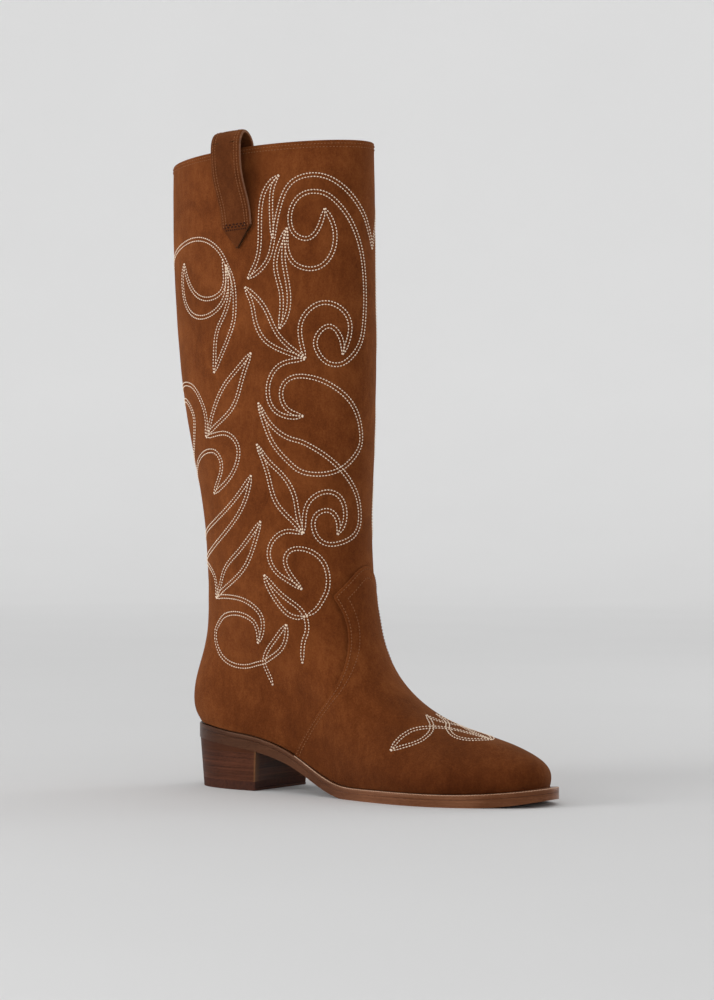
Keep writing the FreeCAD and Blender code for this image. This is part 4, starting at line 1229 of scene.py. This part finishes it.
def build_strap_stitches():
    edges = [strap_line(strap_edge_row(inset, side)) for inset in (2.0, 4.2) for side in (-1, 1)]
    parts = [("strap_stitches", edges, TONAL, 1.8, 0.32)]
    teeth = [(TACK_AT + 3.4 * (k % 2), -9.0 + 1.5 * k) for k in range(13)]
    tack = [strap_line(teeth), strap_line([(TACK_AT - 1.0, -8.8), (TACK_AT - 1.0, 8.8)])]
    parts.append(("strap_tack", tack, TACK, 1.7, 0.46))
    for name, rows, colour, pitch, radius in parts:
        piece = stitch_piece(name, rows, colour, pitch, pitch * 0.8, radius)
        bend_with_loop(piece)


def build_sole():
    piece_on_boot(make_welt(SOLE_EDGE, WELT_RIM), ["welt", "heel_rand"])


# ---- camera, floor and lights
CAMERA_TURN = math.radians(36.0)
CAMERA_HEIGHT, CAMERA_AWAY, CAMERA_ASIDE = 0.202, 2.018, 0.074
LENS, FRAME_SHIFT = 107.9, -0.015  # focal length in mm, and the picture's shift in its own widths


def from_camera(aside, away, height):
    """Place given in metres to the camera's right, towards the camera, and up."""
    c, s = math.cos(CAMERA_TURN), math.sin(CAMERA_TURN)
    return (aside * c + away * s, aside * s - away * c, height)


def make_camera():
    data = bpy.data.cameras.new("camera")
    data.lens, data.sensor_width = LENS, 36.0
    data.shift_y = FRAME_SHIFT
    data.clip_end = 30.0
    camera = new_object("camera", data)
    camera.location = from_camera(CAMERA_ASIDE, CAMERA_AWAY, CAMERA_HEIGHT)
    look = Vector((-math.sin(CAMERA_TURN), math.cos(CAMERA_TURN), 0))
    camera.rotation_euler = look.to_track_quat("-Z", "Y").to_euler()
    bpy.context.scene.camera = camera


AIM = (0.03, 0.0, 0.2)
# Place as from_camera takes it, width and height, and power.
LIGHTS = {"key": ((-1.8, 0.7, 0.6), (1.0, 0.9), 18.0), "fill": ((-0.3, 2.0, 0.6), (1.2, 0.9), 3.5),
          "rim": ((1.5, -0.9, 0.5), (0.5, 0.9), 5.0)}
ROOM_LIGHT = 0.68


def soft_light(name, place, size, power):
    data = bpy.data.lights.new(name, "AREA")
    data.shape, data.size, data.size_y = "RECTANGLE", size[0], size[1]
    data.energy = power
    light = new_object(name, data)
    light.location = place
    light.rotation_euler = (Vector(AIM) - Vector(place)).to_track_quat("-Z", "Y").to_euler()


WALL_GLOW = 0.20  # light that the far wall gives off, to stay as pale as the floor


def pale_floor():
    n = Nodes("pale_floor")
    colour = n.ramp(n.noise(3.0, 2.0, 0.5), [(0.2, (0.71, 0.71, 0.71)), (0.8, (0.73, 0.73, 0.73))])
    away = n.add("ShaderNodeVectorMath", {0: n.place}, operation="LENGTH")
    reach = n.math("MULTIPLY", away.outputs["Value"], 0.2)
    glow = n.math("MULTIPLY", n.ramp(reach, [(0.05, (0, 0, 0)), (0.9, (1, 1, 1))]), WALL_GLOW)
    return n.finish(colour, None, 0.95, Specular_IOR_Level=0.05, Emission_Strength=glow,
                    Emission_Color=(1.0, 1.0, 1.0))


def make_backdrop():
    """Pale floor that rises all round into a wall, in one smooth bowl."""
    flat, bend, tall, around = 3.2, 2.4, 4.5, 96
    arc = [(flat + bend * math.sin(a), bend - bend * math.cos(a)) for a in np.linspace(0, PI / 2, 24)]
    profile = [(0.6, 0.0), (1.6, 0.0)] + arc + [(flat + bend, tall)]
    points = [(0.0, 0.0, 0.0)]
    for reach, height in profile:
        for k in range(around):
            turn = 2 * PI * k / around
            points.append((reach * math.cos(turn), reach * math.sin(turn), height))
    faces = [(0, 1 + k, 1 + (k + 1) % around) for k in range(around)]
    faces += [face[::-1] for face in grid_faces(len(profile), around, offset=1, around=True)]
    mesh_piece("backdrop", np.array(points) / MM, faces, pale_floor())



def make_stage():
    """Evenly lit white studio."""
    bpy.context.scene.view_settings.view_transform = "Standard"
    world = bpy.data.worlds.new("studio")
    bpy.context.scene.world = world
    world.use_nodes = True
    background = world.node_tree.nodes["Background"]
    background.inputs["Color"].default_value = (1.0, 1.0, 1.0, 1)
    background.inputs["Strength"].default_value = ROOM_LIGHT
    make_backdrop()
    for name, (place, size, power) in LIGHTS.items():
        soft_light(name, from_camera(*place), size, power)


dress_cad_nodes()
build_upper()
build_strap()
build_sole()
build_embroidery()
build_construction_stitches()
build_strap_stitches()
make_camera()
make_stage()
